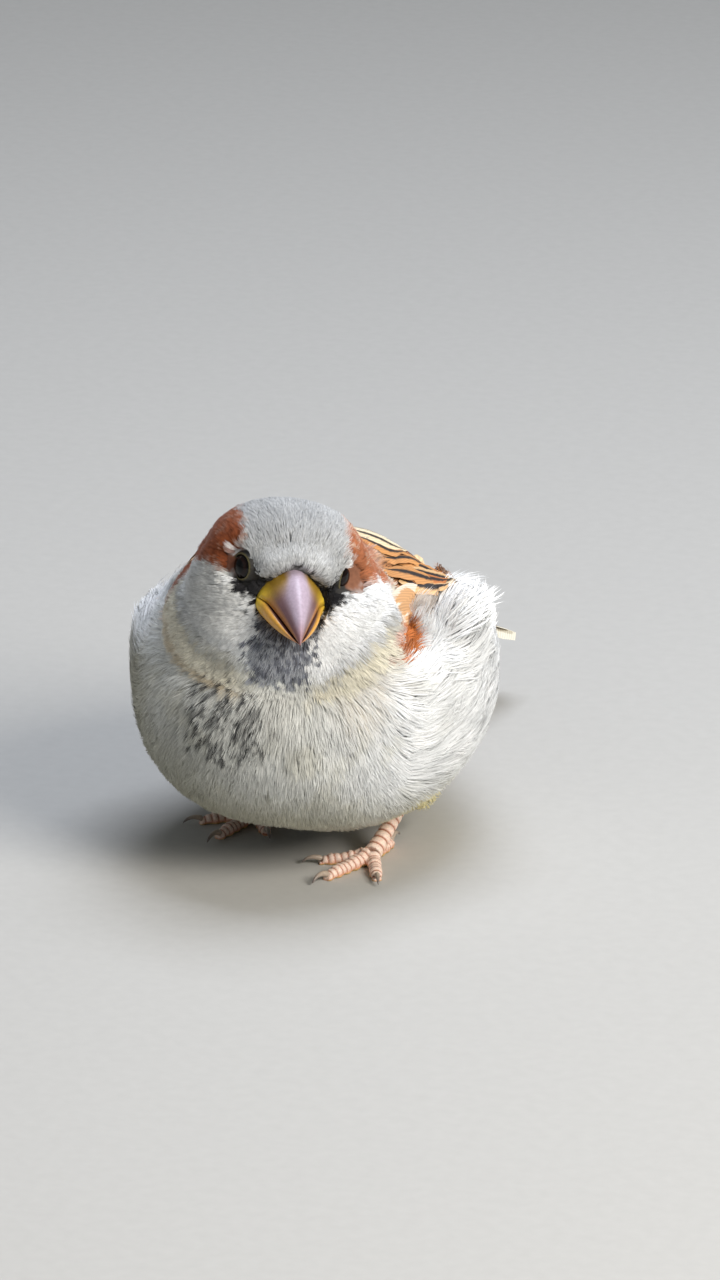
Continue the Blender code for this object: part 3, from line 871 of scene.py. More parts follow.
@dataclass
class Skin:
    """One skin over head, neck, trunk, thighs and the fleshy part of the wings."""

    place: Place
    markings: Markings
    rng: np.random.Generator = field(default_factory=lambda: np.random.default_rng(3))
    swell: float = 0.35 * MM  # how far it starts outside the CAD nodes
    voxel: float = 0.6 * MM
    wing_cut: float = 20.0  # mm behind the trunk's middle, where the arm ends and quills go on alone
    bill_cut: float = -9.4  # mm in the head's frame, where the bill leaves the face
    nodes: tuple[str, ...] = ("head", "neck", "trunk", "thigh_left", "thigh_right")
    face: tuple = (
        ((0.0, -9.4, 10.6), 2.2, 0.7), ((3.2, -9.6, 9.2), 1.9, 0.75), ((5.8, -9.0, 8.7), 1.8, 0.85),
        ((8.2, -7.0, 10.0), 1.8, 0.85), ((9.6, -3.6, 11.0), 2.2, 0.5), ((5.9, -10.6, 5.2), 1.9, -0.9),
        ((8.6, -9.2, 3.6), 1.6, -0.45), ((11.5, -8.0, -1.0), 4.5, 0.6), ((0.0, 2.0, 15.5), 8.0, -0.6),
    )  # presses and bulges of both sides of the face: middle, size and push outwards, in mm
    turned: tuple = (
        ((23.0, -1.5, -5.0), 6.5, -4.0), ((18.8, 1.8, 2.5), 5.0, -2.4),
        ((12.5, 2.0, 9.5), 4.0, -0.9), ((-14.8, 3.4, 5.0), 4.5, -1.1),
    )  # the head is turned, so its two sides are not alike
    shoulders: tuple = (
        ((27.5, -4.0, 13.0), 4.5, 2.0), ((31.0, 2.0, 5.0), 7.5, -2.2), ((-29.5, 0.0, 6.0), 7.0, -0.6)
    )  # the same, from the trunk's middle

    def flesh(self) -> list[BMesh]:
        """Copies the CAD nodes of flesh, with arms and bill cut to what the skin goes over.

        Returns:
            The copies, which overlap.
        """
        shapes = [node_shape(node, self.swell) for node in self.nodes]
        shapes += [node_shape(f"eye_{side}", 0.0) for side in SIDES]
        elbow = self.place.trunk + [0, self.wing_cut * MM, 0]
        cuts = [(f"wing_{side}", elbow, np.array([0, 1.0, 0])) for side in SIDES]
        face = self.place.from_head((0, self.bill_cut, 3.0))
        cuts += [(node, face, -self.place.axes[1]) for node in ("bill_upper", "bill_lower")]
        for node, point, ahead in cuts:
            shape = node_shape(node, self.swell)
            geometry = shape.verts[:] + shape.edges[:] + shape.faces[:]
            cut = bmesh.ops.bisect_plane(shape, geom=geometry, plane_co=point, plane_no=ahead, clear_outer=True)
            rim = [item for item in cut["geom_cut"] if isinstance(item, BMEdge)]
            bmesh.ops.holes_fill(shape, edges=rim)
            shapes.append(shape)
        return shapes

    def depth(self, points: Array) -> Array:
        """Gives the coat's depth: least round the bill, and less on the head than on the body.

        Args:
            points: Points on the bird.

        Returns:
            The depth over each, in metres.
        """
        h, b = self.place.in_head(points), self.place.in_trunk(points)
        deep = 2.1 + (1.8 - 2.1) * ease(b[:, 2], -16, -24)
        deep = deep + (1.2 - deep) * ease(away(h), 20.0, 15.0)
        return (deep + (0.75 - deep) * ease(away(h, (0, -12, 4)), 11.0, 6.0)) * MM

    def sculpt(self, points: Array) -> Array:
        """Presses and raises the face: brows over the eyes, hollow lores, full cheeks.

        Args:
            points: The skin's points.

        Returns:
            How far each point moves out, in metres.
        """
        h = self.place.in_head(points)
        folded = np.stack([np.abs(h[:, 0]), h[:, 1], h[:, 2]], 1)
        out = np.zeros(len(points))
        groups = ((folded, self.face), (h, self.turned), (self.place.in_trunk(points), self.shoulders))
        for places, group in groups:
            for spot, size, push in group:
                out += push * np.exp(-((away(places, spot) / size) ** 2))
        out -= 0.5 * self.markings.masks(points)["crease"]
        return out * MM

    def plume_ridge(self, points: Array) -> Array:
        """Gives how far each point belongs to the ridge of left flank plumes that stands over the wing's edge."""
        b = self.place.in_trunk(points)
        along = ease(b[:, 1], 14.0, 6.0) * ease(b[:, 1], -16.0, -9.0) * ease(b[:, 2], 3.0, 10.0)
        return np.exp(-(((b @ ACROSS - 25.2) / 3.2) ** 2)) * along * (b[:, 0] > 0)

    def build(self) -> "Skin":
        """Fuses, shrinks and sculpts the skin, and keeps what the coat needs of it.

        Returns:
            This skin, built.
        """
        mesh = remeshed("skin", self.flesh(), self.voxel)
        smoothed(mesh, 4)
        points, normals = points_of(mesh), normals_of(mesh)
        tree = BVHTree.FromPolygons(points.tolist(), [list(face.vertices) for face in mesh.polygons])
        room = np.full(len(points), 1.0)
        for i, (point, normal) in enumerate(zip(points, normals)):
            hit = tree.ray_cast(Vector(point - normal * 0.2 * MM), Vector(-normal))
            if hit[3] is not None:
                room[i] = hit[3]
        deep = np.minimum(self.depth(points), room * 0.3)
        inner = points - normals * (deep + self.swell * 0.5)[:, None] + normals * self.sculpt(points)[:, None]
        inner = self.place.lowered(inner, 1.7)
        inner[:, 2] += 3.0 * MM * self.plume_ridge(inner)
        move_points(mesh, inner)
        smoothed(mesh, 3)
        self.points, self.normals = points_of(mesh), normals_of(mesh)
        self.deep = deep
        self.faces = [list(face.vertices) for face in mesh.polygons]
        self.tree = BVHTree.FromPolygons(self.points.tolist(), self.faces)
        paint = self.markings.paint(self.points, self.rng)
        down = self.markings.tone("down")
        paint_points(mesh, PAINT, blend(paint.edge * 0.75, down * 0.6, np.full(len(paint.edge), 0.25)))
        shade_smooth(mesh)
        self.mesh = mesh
        place_piece(mesh, SkinFinish().make(), "body_plumage", self.nodes)
        return self

    def struck(self, start: Array, way: Array) -> list[Array]:
        """Gives the place, if any, where a ray from a start meets the skin."""
        hit = self.tree.ray_cast(Vector(start), Vector(way))[0]
        return [] if hit is None else [np.array(hit)]

    def settle(self, points: Array) -> tuple[Array, Array, Array]:
        """Finds the nearest places on the skin.

        Args:
            points: Points near the skin.

        Returns:
            The places, the skin's smooth normals there, and the coat's depth there.
        """
        places = np.empty_like(points)
        corner = np.empty((len(points), 4), int)
        for i, point in enumerate(points):
            spot, _, face, _ = self.tree.find_nearest(point)
            places[i] = spot
            ring = self.faces[face]
            corner[i] = (ring + ring)[:4]
        near = np.linalg.norm(self.points[corner] - places[:, None, :], axis=2) + 1e-6
        share = (1 / near) / (1 / near).sum(axis=1, keepdims=True)
        normals = unit((self.normals[corner] * share[..., None]).sum(axis=1))
        return places, normals, (self.deep[corner] * share).sum(axis=1)


class Unwrap(Enum):
    """Which way a piece of the coat is unrolled for its bake."""

    HEAD = "round the head's own upright axis"
    UPRIGHT = "round an upright axis through the trunk"
    LONG = "round the trunk's long axis"


@dataclass(frozen=True)
class Zone:
    """One piece of the coat."""

    name: str
    unwrap: Unwrap
    slot: str


ZONES = (
    Zone("coat_crown", Unwrap.HEAD, "head_plumage"),
    Zone("coat_face", Unwrap.HEAD, "head_plumage"),
    Zone("coat_breast", Unwrap.UPRIGHT, "neck_plumage"),
    Zone("coat_belly", Unwrap.LONG, "body_plumage"),
    Zone("coat_flank_left", Unwrap.LONG, "body_plumage"),
    Zone("coat_flank_right", Unwrap.LONG, "body_plumage"),
    Zone("coat_mantle", Unwrap.LONG, "body_plumage"),
    Zone("coat_rump", Unwrap.LONG, "body_plumage"),
    Zone("coat_nape", Unwrap.HEAD, "head_plumage"),
    Zone("coat_vent", Unwrap.LONG, "body_plumage"),
)


@dataclass
class Tufts:
    """One row for each tuft: its place, size and lie."""

    path: Array
    normal: Array
    heading: Array
    deep: Array
    spread: Array
    width: Array
    count: Array
    rise: Array
    paint: Paint


@dataclass
class Coat:
    """The contour feathers: tufts of thin barbs, fanned from one root and laid over the skin."""

    place: Place
    markings: Markings
    skin: Skin
    rng: np.random.Generator = field(default_factory=lambda: np.random.default_rng(7))
    finish: Material = field(default_factory=lambda: PlumageFinish().make())
    steps: int = 4  # stretches of a tuft's path
    stations: tuple[float, ...] = (0.0, 0.42, 0.78, 1.0)  # along a barb, from root to point
    body_widths: tuple[float, ...] = (0.6, 1.0, 0.75)  # of a barb at its first three stations
    patch: float = 0.003  # width of one tuft's place on the bake's unwrap
    eyelid: float = 2.35  # mm from an eye's line of sight, inside which nothing grows

    def fields(self, points: Array) -> dict[str, Array]:
        """Sizes of the tufts at each point.

        Args:
            points: Points on the skin, in metres.

        Returns:
            Length, spacing, fan and barb width in millimetres, barbs in a tuft, and shares from 0 to 1: how far
            each tuft is a flank plume, a loose wisp, a puffed spot, a lesser covert, a plume over the wing, a
            feather of the head and one of the back.
        """
        h, b = self.place.in_head(points), self.place.in_trunk(points)
        bx, by, bz = b.T
        side = np.abs(bx)
        masks = self.markings.masks(points)
        back, patch, lesser = masks["mantle"], masks["patch"], masks["shoulder"]
        face, head = ease(away(h, (0, -11.5, 4.5)), 11.5, 5.5), ease(away(h), 21.0, 16.0)
        flank = ease(side, 15.0, 23.0) * ease(bz, -18.0, -8.0) * ease(bz, 17.0, 11.0) * ease(by, -30.0, -20.0)
        rear, low = ease(by, 24.0, 36.0), ease(bz, -17.0, -21.0) * ease(bx, 5.0, 11.0)
        length = 6.0 + 1.2 * ease(bz, -6, -16)
        goals = (7.5, 12.5, 11.0, 3.7, 5.0, 3.3, 1.9)  # mm, of back, flank, rear, patch, shoulder, head and face
        for goal, share in zip(goals, (back, flank * (1 - back), rear, patch, lesser, head, face)):
            length = length + (goal - length) * share
        ragged = flank * (1 - head) * ease(bz, 4.0, 10.0) * np.where(bx < 0, ease(side, 22.0, 26.0), 1.0)
        return {
            "length": length,
            "spacing": 0.15 * length + 0.14,
            "spread": 0.21 * length * (1 + 0.25 * back * (1 - head)),
            "width": 0.075 + 0.012 * length,
            "count": np.clip(8 + 1.35 * length, 11, 24),
            "flank": flank * (1 - head),
            "loose": np.maximum(ragged, low),
            "puff": masks["spot"],
            "lesser": lesser,
            "over": flank * ease(bx, 14.0, 17.0) * ease(by, 2.0, -6.0) * ease(bz, 0.0, 5.0),
            "head": head,
            "back": back,
        }

    def lie(self, points: Array, normals: Array, flank: Array) -> Array:
        """Gives the way the feathers point: back from the bill, up over the flanks, round the eyes.

        Args:
            points: Points on the skin.
            normals: The skin's normals there.
            flank: How far each point belongs to the flank plumes.

        Returns:
            Unit directions along the skin.
        """
        b = self.place.in_trunk(points)
        flow = unit(points - self.place.from_head((0, -11.0, 4.5)))
        flow = flow + np.outer(flank, [0, 0.25, 1.15]) + np.outer(ease(b[:, 1], 22, 36), [0, 1.2, 0])
        flow[:, 0] -= 0.025 * b[:, 0] * ease(b[:, 1], 18, 36)
        flow = flatten_on(flow, normals)
        for side in SIDES:
            out, far, along = self.place.round_eye(points, side)
            close = ease(far, 6.5, 3.2) * (along > -1 * MM)
            outward = flatten_on(out, normals)
            against = np.minimum(np.sum(flow * outward, axis=1), 0)
            flow = flatten_on(flow + outward * ((0.25 - against) * close)[:, None], normals)
        return flow

    def scatter(self) -> Array:
        """Spreads the tufts' roots evenly over the skin, closer where they are small.

        Returns:
            The roots.
        """
        mesh = self.skin.mesh
        mesh.calc_loop_triangles()
        corners = np.empty(len(mesh.loop_triangles) * 3, np.int32)
        mesh.loop_triangles.foreach_get("vertices", corners)
        ends = self.skin.points[corners.reshape(-1, 3)]
        areas = np.linalg.norm(np.cross(ends[:, 1] - ends[:, 0], ends[:, 2] - ends[:, 0]), axis=1) / 2 / MM**2
        middles = ends.mean(axis=1)
        weight = areas / self.fields(middles)["spacing"] ** 2 * self.clear(middles)
        total = int(weight.sum() * 1.12)
        pick = self.rng.choice(len(weight), total, p=weight / weight.sum())
        mix = self.rng.random((total, 2))
        mix = np.where(mix.sum(axis=1, keepdims=True) > 1, 1 - mix, mix)
        chosen = ends[pick]
        roots = chosen[:, 0] + (chosen[:, 1] - chosen[:, 0]) * mix[:, :1] + (chosen[:, 2] - chosen[:, 0]) * mix[:, 1:]
        for _ in range(3):
            spacing = self.fields(roots)["spacing"] * MM
            near = finder_of(roots)
            ring = np.array([[item[1] for item in near.find_n(root, 7)] for root in roots])[:, 1:]
            apart = roots[:, None, :] - roots[ring]
            far = away(apart)
            push = np.clip(1 - far / (1.15 * spacing[:, None]), 0, 1) * 0.45 * spacing[:, None]
            roots = roots + (apart / np.maximum(far, 1e-9)[..., None] * push[..., None]).sum(axis=1)
            roots, _, _ = self.skin.settle(roots)
        return roots[self.clear(roots) > 0.5]

    def clear(self, points: Array) -> Array:
        """Says where feathers root.

        Args:
            points: Points on the skin.

        Returns:
            0 on the bill and the eyes, and 1 elsewhere.
        """
        h = self.place.in_head(points)
        keep = np.ones(len(points))
        half = np.interp(h[:, 2], [-1.0, 0.5, 3.2, 8.9, 9.2], [0.0, 4.2, 5.2, 0.9, 0.0])
        keep[(h[:, 1] < -7.0) & (np.abs(h[:, 0]) < half)] = 0
        for side in SIDES:
            _, far, along = self.place.round_eye(points, side)
            keep[(far < self.eyelid) & (along > 0)] = 0
        return keep

    def grow(self) -> Tufts:
        """Lays every tuft's path over the skin and sets its size and colours.

        Returns:
            The tufts.
        """
        rng = self.rng
        roots = self.scatter()
        sizes = self.fields(roots)
        count = len(roots)
        length = sizes["length"] * rng.uniform(0.85, 1.15, count)
        for side in SIDES:
            _, far, along = self.place.round_eye(roots, side)
            length = np.where(along > 0, length * (0.6 + 0.4 * ease(far, 3.0, 6.5)), length)
        spots, normals, deep = self.skin.settle(roots)
        yaw = rng.normal(0, 1, count) * (0.10 + 0.10 * sizes["flank"])
        heading = self.lie(spots, normals, sizes["flank"])
        path, lifts, ways = [spots], [normals], [swung(heading, normals, yaw)]
        b = self.place.in_trunk(roots)
        wisp = sizes["loose"] * rng.uniform(0.0, 1.0, count) ** 0.7 * (1 - 0.8 * ease(b @ ACROSS, 26.0, 29.0))
        crest = wisp * ease(b[:, 2], 6.0, 11.0) * ease(b @ ACROSS, 28.5, 25.5)
        for step in range(self.steps):
            ahead = path[-1] + ways[-1] * (length / self.steps * MM)[:, None]
            spot, normal, _ = self.skin.settle(ahead)
            flow = swung(self.lie(spot, normal, sizes["flank"]), normal, yaw)
            if step >= self.steps - 2:
                spot = spot + (ahead - spot) * wisp[:, None] + normal * (0.9 * MM * crest)[:, None]
            path.append(spot)
            lifts.append(normal)
            ways.append(flatten_on(ways[-1] + flow, normal))
        shown = path[-2]
        return Tufts(
            path=np.stack(path, 1),
            normal=np.stack(lifts, 1),
            heading=np.stack(ways, 1),
            deep=deep,
            spread=sizes["spread"] * rng.uniform(0.85, 1.15, count),
            width=sizes["width"],
            count=np.round(sizes["count"]).astype(int),
            rise=(1.0 + rng.normal(0, 0.05, count) + wisp * 0.3) * (1 - 0.45 * sizes["back"] * (1 - sizes["head"]))
            + sizes["over"] * rng.uniform(0.1, 0.7, count)
            + sizes["puff"] * 0.5
            + sizes["lesser"] * rng.uniform(0.2, 0.7, count),
            paint=self.markings.paint(shown, rng),
        )

    def zone_of(self, tufts: Tufts) -> Array:
        """Shares the tufts out among the coat's pieces.

        Args:
            tufts: The tufts.

        Returns:
            The name of each tuft's piece.
        """
        roots = tufts.path[:, 0]
        h, (bx, by, bz) = self.place.in_head(roots), self.place.in_trunk(roots).T
        on_head = (away(h, HEAD_MIDDLE) < 20.0) & (h[:, 2] > -12)
        upper = on_head & (h[:, 2] > 6.0 - 0.5 * (h[:, 1] + 8))
        under = (bz < -14) & (by > -20)
        rules = (
            (upper & (h[:, 1] > 0.5), "coat_nape"),
            (upper, "coat_crown"),
            (on_head, "coat_face"),
            (by > 22, "coat_rump"),
            ((bz > 4) & (by > -16) & (np.abs(bx) < 22), "coat_mantle"),
            (under & (by > -4), "coat_vent"),
            (under, "coat_belly"),
            ((by > -22) & (bx < -14), "coat_flank_right"),
            ((by > -22) & (bx > 14), "coat_flank_left"),
            (bz > -9, "coat_breast"),
            (by > -4, "coat_vent"),
        )  # the first that holds gives the piece
        return np.select(*zip(*rules), default="coat_belly")

    def unrolled(self, roots: Array, unwrap: Unwrap) -> Array:
        """Unrolls roots to the unit square.

        Args:
            roots: The tufts' roots.
            unwrap: The axis they are unrolled round.

        Returns:
            A place for each root.
        """
        on_head = unwrap is Unwrap.HEAD
        x, y, z = (self.place.in_head(roots) if on_head else self.place.in_trunk(roots)).T
        across, up = np.arctan2(x, -y + 2.0 * on_head), np.arctan2(z, np.hypot(x, y))
        if unwrap is Unwrap.LONG:
            beside = abs(np.median(x)) >= 10
            down = -1.0 if np.median(z) < 0 and not beside else 1.0
            across = np.arctan2(z, np.abs(x)) if beside else np.arctan2(x, down * (z + 2.0 * down))
            up = y
        flat = np.stack([across, up], 1)
        low, high = flat.min(axis=0), flat.max(axis=0)
        return 0.01 + 0.975 * (flat - low) / (high - low)

    def barbs(self, tufts: Tufts, rows: Array, zone: Zone) -> Object:
        """Makes one piece of the coat.

        Args:
            tufts: All tufts.
            rows: The numbers of this piece's tufts.
            zone: The piece.

        Returns:
            The piece.
        """
        rng = self.rng
        counts = tufts.count[rows]
        own = np.repeat(rows, counts)
        total = len(own)
        index = np.arange(total)
        order = index - np.repeat(np.cumsum(counts) - counts, counts)
        across = (order + 0.5) / np.repeat(counts, counts) * 2 - 1
        across = np.clip(across + rng.normal(0, 0.10, total), -1.1, 1.1)
        reach = (1 - 0.26 * across**2) * rng.uniform(0.82, 1.04, total)
        reach = np.where(rng.random(total) < 0.04, reach * 1.12, reach)  # a few barbs stray
        spread, deep = tufts.spread[own] * MM, tufts.deep[own] * tufts.rise[own]
        lift = rng.normal(0, 0.03, total)
        drift = rng.normal(0, 0.16, total)
        twist = rng.normal(0, 0.14, total) + across * 0.18
        width = tufts.width[own] * MM * rng.uniform(0.75, 1.2, total)
        middles, sides = [], []
        for station in self.stations:
            along = np.minimum(reach * station, 0.999) * self.steps
            low = along.astype(int)
            part = (along - low)[:, None]
            spot, up, way = (
                rows[own[index], low] * (1 - part) + rows[own[index], low + 1] * part
                for rows in (tufts.path, tufts.normal, tufts.heading)
            )
            up = unit(up)
            side = np.cross(up, unit(way))
            swing = spread * (across * station**0.7 + drift * station**2)
            climb = 0.25 + 0.75 * (1 - np.maximum(1 - station * reach, 0.0) ** 1.7)
            height = deep * climb * (1 + lift * station) - 0.06 * across**2 * deep * station
            height = height - 0.6 * deep * (station == 0)
            middles.append(spot + side * swing[:, None] + up * height[:, None])
            sides.append(side * np.cos(twist)[:, None] + up * np.sin(twist)[:, None])
        points = np.empty((total, 7, 3))
        for k, share in enumerate(self.body_widths):
            half = sides[k] * (width * share / 2)[:, None]
            points[:, 2 * k] = middles[k] - half
            points[:, 2 * k + 1] = middles[k] + half
        points[:, 6] = middles[3]
        base = (index * 7)[:, None]
        quads = np.concatenate([base + np.array([0, 2, 3, 1]), base + np.array([2, 4, 5, 3])])
        mesh = mesh_from_arrays(zone.name, points.reshape(-1, 3), [quads, base + np.array([4, 6, 5])])
        paint_points(mesh, PAINT, self.barb_colours(tufts.paint, own, across, rng).reshape(-1, 3))
        home = np.repeat(self.unrolled(tufts.path[rows, 0], zone.unwrap), counts, axis=0)
        edge = np.array([-1, 1, -1, 1, -1, 1, 0.0])
        places = np.empty((total, 7, 2))
        places[..., 0] = home[:, :1] + self.patch * (across[:, None] * 0.42 + edge * 0.05)
        places[..., 1] = home[:, 1:] + self.patch * (np.repeat(self.stations, 2)[:7] - 0.5)
        map_points(mesh, UV_BAKE, np.clip(places.reshape(-1, 2), 0, 1))
        return place_piece(mesh, self.finish, zone.slot)

    def barb_colours(
        self, paint: Paint, own: Array, across: Array, rng: np.random.Generator
    ) -> Array:
        """Colours barbs: a dark core, paler edges and tips, a darker root that is partly real grey down and partly
        painted shade under the tufts above, and each barb a little its own.

        Args:
            paint: The tufts' colours.
            own: Each barb's tuft.
            across: Each barb's place across its tuft, from -1 to 1.
            rng: Source of the differences between barbs.

        Returns:
            A colour for each of the seven points of each barb.
        """
        core_share = np.exp(-((across / paint.band[own]) ** 2)) * paint.streak[own]
        body = blend(paint.edge[own], paint.core[own], core_share)
        tip = blend(paint.tip[own], paint.core[own], core_share * paint.tipward[own])
        light = np.exp(rng.normal(0, 0.055, len(own)))
        light = np.where(rng.random(len(own)) < 0.05, light * 0.8, light)[:, None]
        # darker roots: partly real grey down, partly painted shade under the overlying tufts
        root, low, high = body * 0.72, body * 0.95, (body + tip) / 2
        return np.clip(np.stack([stop * light for stop in (root, root, low, low, high, high, tip)], 1), 0, 1)

    def build(self) -> None:
        """Grows the tufts and makes all pieces of the coat."""
        tufts = self.grow()
        zone = self.zone_of(tufts)
        log.info("coat: %d tufts, %d barbs", len(zone), tufts.count.sum())
        for piece in ZONES:
            self.barbs(tufts, np.flatnonzero(zone == piece.name), piece)


@dataclass
class Vane:
    """One broad feather: its shaft's line, the way its face looks, its webs and its colours."""

    line: Array
    face: Array
    inner: float  # mm, width of the web towards the body
    outer: float  # mm, width of the web away from it
    core: Array
    edge: Array
    rim: float = 0.25  # share of each web that is edge coloured
    tip: float = 0.06  # share of the length that is edge coloured
    round: float = 0.22  # share of the length over which the point narrows
    camber: float = 0.10
    taper: float = 0.0  # how much the dark middle narrows towards both ends


@dataclass(frozen=True)
class VaneFinish:
    """Closed feather vane: keratin barbs zipped to a smooth web, with a low sheen and a raised shaft."""

    name: str = "feather_vane"
    barb: float = 0.42  # mm between barb lines, drawn coarser than life so that they show
    soft: float = 0.2  # share of the web over which its dark middle fades into the edge
    border: float = 1.48  # where it fades, counted in shares of the web with the wobble added

    def make(self) -> Material:
        """Builds the material from the feather's own map and its numbers along and across."""
        material, tree = new_surface(self.name)
        core = add_node(tree, "ShaderNodeAttribute", attribute_name="Core")
        edge = add_node(tree, "ShaderNodeAttribute", attribute_name="Edge")
        share = add_node(tree, "ShaderNodeAttribute", attribute_name="Share")
        web = add_node(tree, "ShaderNodeUVMap", uv_map="Vane").outputs[0]
        wobble = add_node(tree, "ShaderNodeTexNoise", {"Vector": web, "Scale": 1.6, "Detail": 3.0}).outputs[0]
        moved = add_node(tree, "ShaderNodeMath", {0: share.outputs["Fac"], 1: wobble}, operation="ADD")
        fade = {0: moved.outputs[0], 1: self.border - self.soft / 2, 2: self.border + self.soft / 2}
        rim = add_node(tree, "ShaderNodeMapRange", fade)
        lines = {"Vector": web, "Scale": 0.314 / self.barb, "Distortion": 1.2, "Detail Scale": 0.5}
        lines = add_node(tree, "ShaderNodeTexWave", lines, bands_direction="DIAGONAL").outputs["Fac"]
        tones = {0: rim.outputs[0], 6: core.outputs["Color"], 7: edge.outputs["Color"]}
        base = add_node(tree, "ShaderNodeMix", tones, data_type="RGBA")
        shade = add_node(tree, "ShaderNodeMapRange", {0: lines, 3: 0.84, 4: 1.08})
        colour = add_node(tree, "ShaderNodeMix", {0: 1.0, 6: base.outputs[2], 7: shade.outputs[0]}, **TINTED)
        bump = add_node(tree, "ShaderNodeBump", {"Height": lines, "Strength": 0.35, "Distance": 0.04 * MM})
        rough = add_node(tree, "ShaderNodeMapRange", {0: wobble, 3: 0.48, 4: 0.68})
        links = {"Base Color": colour.outputs[2], "Roughness": rough.outputs[0], "Normal": bump.outputs[0]}
        dress_surface(tree, links | {"Sheen Weight": 0.12, "Specular IOR Level": 0.35})
        return material


@dataclass
class VaneSheet:
    """Makes one piece of many vanes."""

    name: str
    seed: int
    fray: float = 0.03  # of the vanes' edges, as a share of their width
    long: int = 20  # faces along a vane
    wide: int = 8  # and across both its webs
    vanes: list[Vane] = field(default_factory=list)

    def profile(self, share: Array, vane: Vane) -> Array:
        """Gives a vane's width at each share of its length."""
        root = 0.30 + 0.70 * ease(share, 0.0, 0.38)
        tip = np.sqrt(np.clip(1 - (np.clip(share - (1 - vane.round), 0, 1) / vane.round) ** 2, 0, 1))
        return root * np.maximum(tip, 0.04)

    def build(self, material: Material, slot: str, replaced: Iterable[str] = ()) -> Object:
        """Makes the piece.

        Args:
            material: Its finish.
            slot: The record's slot.
            replaced: The CAD nodes it stands for.

        Returns:
            The piece.
        """
        rng = np.random.default_rng(self.seed)
        across = np.linspace(-1, 1, self.wide + 1)
        share = np.linspace(0, 1, self.long + 1)
        size = len(share) * len(across)
        points, core, edge, rim, web, bake = [], [], [], [], [], []
        columns = math.ceil(math.sqrt(len(self.vanes)))
        for number, vane in enumerate(self.vanes):
            at = share * (len(vane.line) - 1)
            low = np.minimum(at.astype(int), len(vane.line) - 2)
            part = (at - low)[:, None]
            line, face = (rows[low] * (1 - part) + rows[low + 1] * part for rows in (vane.line, vane.face))
            face = unit(face)
            ahead = unit(np.gradient(line, axis=0))
            side = unit(np.cross(face, ahead))
            reach = away(np.diff(line, axis=0)).sum() / MM
            width = self.profile(share, vane)[:, None] * np.where(across < 0, vane.inner, vane.outer)
            width = width * (1 + rng.normal(0, self.fray, width.shape) * np.abs(across) ** 4)
            drop = -vane.camber * width * across**2
            back = np.abs(across) ** 1.5 * 0.35 * width * ease(share, 0, 0.3)[:, None]
            spot = line[:, None, :] + side[:, None, :] * (width * across * MM)[..., None]
            spot = spot + face[:, None, :] * (drop * MM)[..., None] - ahead[:, None, :] * (back * MM)[..., None]
            points.append(spot.reshape(-1, 3))
            core.append(np.tile(vane.core, (size, 1)) * (1 + rng.normal(0, 0.05)))
            edge.append(np.tile(vane.edge, (size, 1)) * (1 + rng.normal(0, 0.05)))
            middle = (1 - vane.rim) * (1 - vane.taper * (2 * share[:, None] - 1) ** 2)
            end = share[:, None] / (1 - vane.tip)
            border = np.maximum(np.abs(across) / middle, np.where(end > 1, 1.0 + (end - 1) * 6, end * 0.5))
            rim.append(np.clip(border, 0, 1.6).ravel())
            flat = np.broadcast_arrays(np.abs(width * across), (share * reach)[:, None])
            web.append(np.stack(flat, 2).reshape(-1, 2))
            cell = np.array([number % columns, number // columns]) / columns
            grid = np.stack(np.broadcast_arrays((across + 1) / 2, share[:, None]), 2).reshape(-1, 2)
            bake.append(cell + (0.06 + 0.88 * grid) / columns)
        step = len(across)
        corner = np.arange(self.long)[:, None] * step + np.arange(self.wide)
        quads = np.stack([corner, corner + step, corner + step + 1, corner + 1], 2).reshape(-1, 4)
        faces = np.concatenate([quads + size * number for number in range(len(self.vanes))])
        mesh = mesh_from_arrays(self.name, np.concatenate(points), [faces])
        paint_points(mesh, "Core", np.clip(np.concatenate(core), 0, 1))
        paint_points(mesh, "Edge", np.clip(np.concatenate(edge), 0, 1))
        mark_points(mesh, "Share", np.concatenate(rim))
        map_points(mesh, UV_BAKE, np.concatenate(bake))
        map_points(mesh, "Vane", np.concatenate(web))
        return place_piece(mesh, material, slot, replaced)


@dataclass(frozen=True)
class Row:
    """One row of a wing's feathers: where the first lies, and how far each next one moves on."""

    numbers: range
    start: tuple[float, float, float]  # y, chord and lift of the root
    start_step: tuple[float, float, float]
    end: tuple[float, float, float]  # the same of the point
    end_step: tuple[float, float, float]
    width: tuple[float, float]  # mm, of the inner and the outer web
    tones: tuple[str, str] = ("#3A2F2A", "#B08C62")
    shape: dict[str, float] = field(default_factory=dict)  # what else its vanes have
    wave: tuple[float, float] = (0.0, 0.0)  # mm that the points stray from their line, and how fast


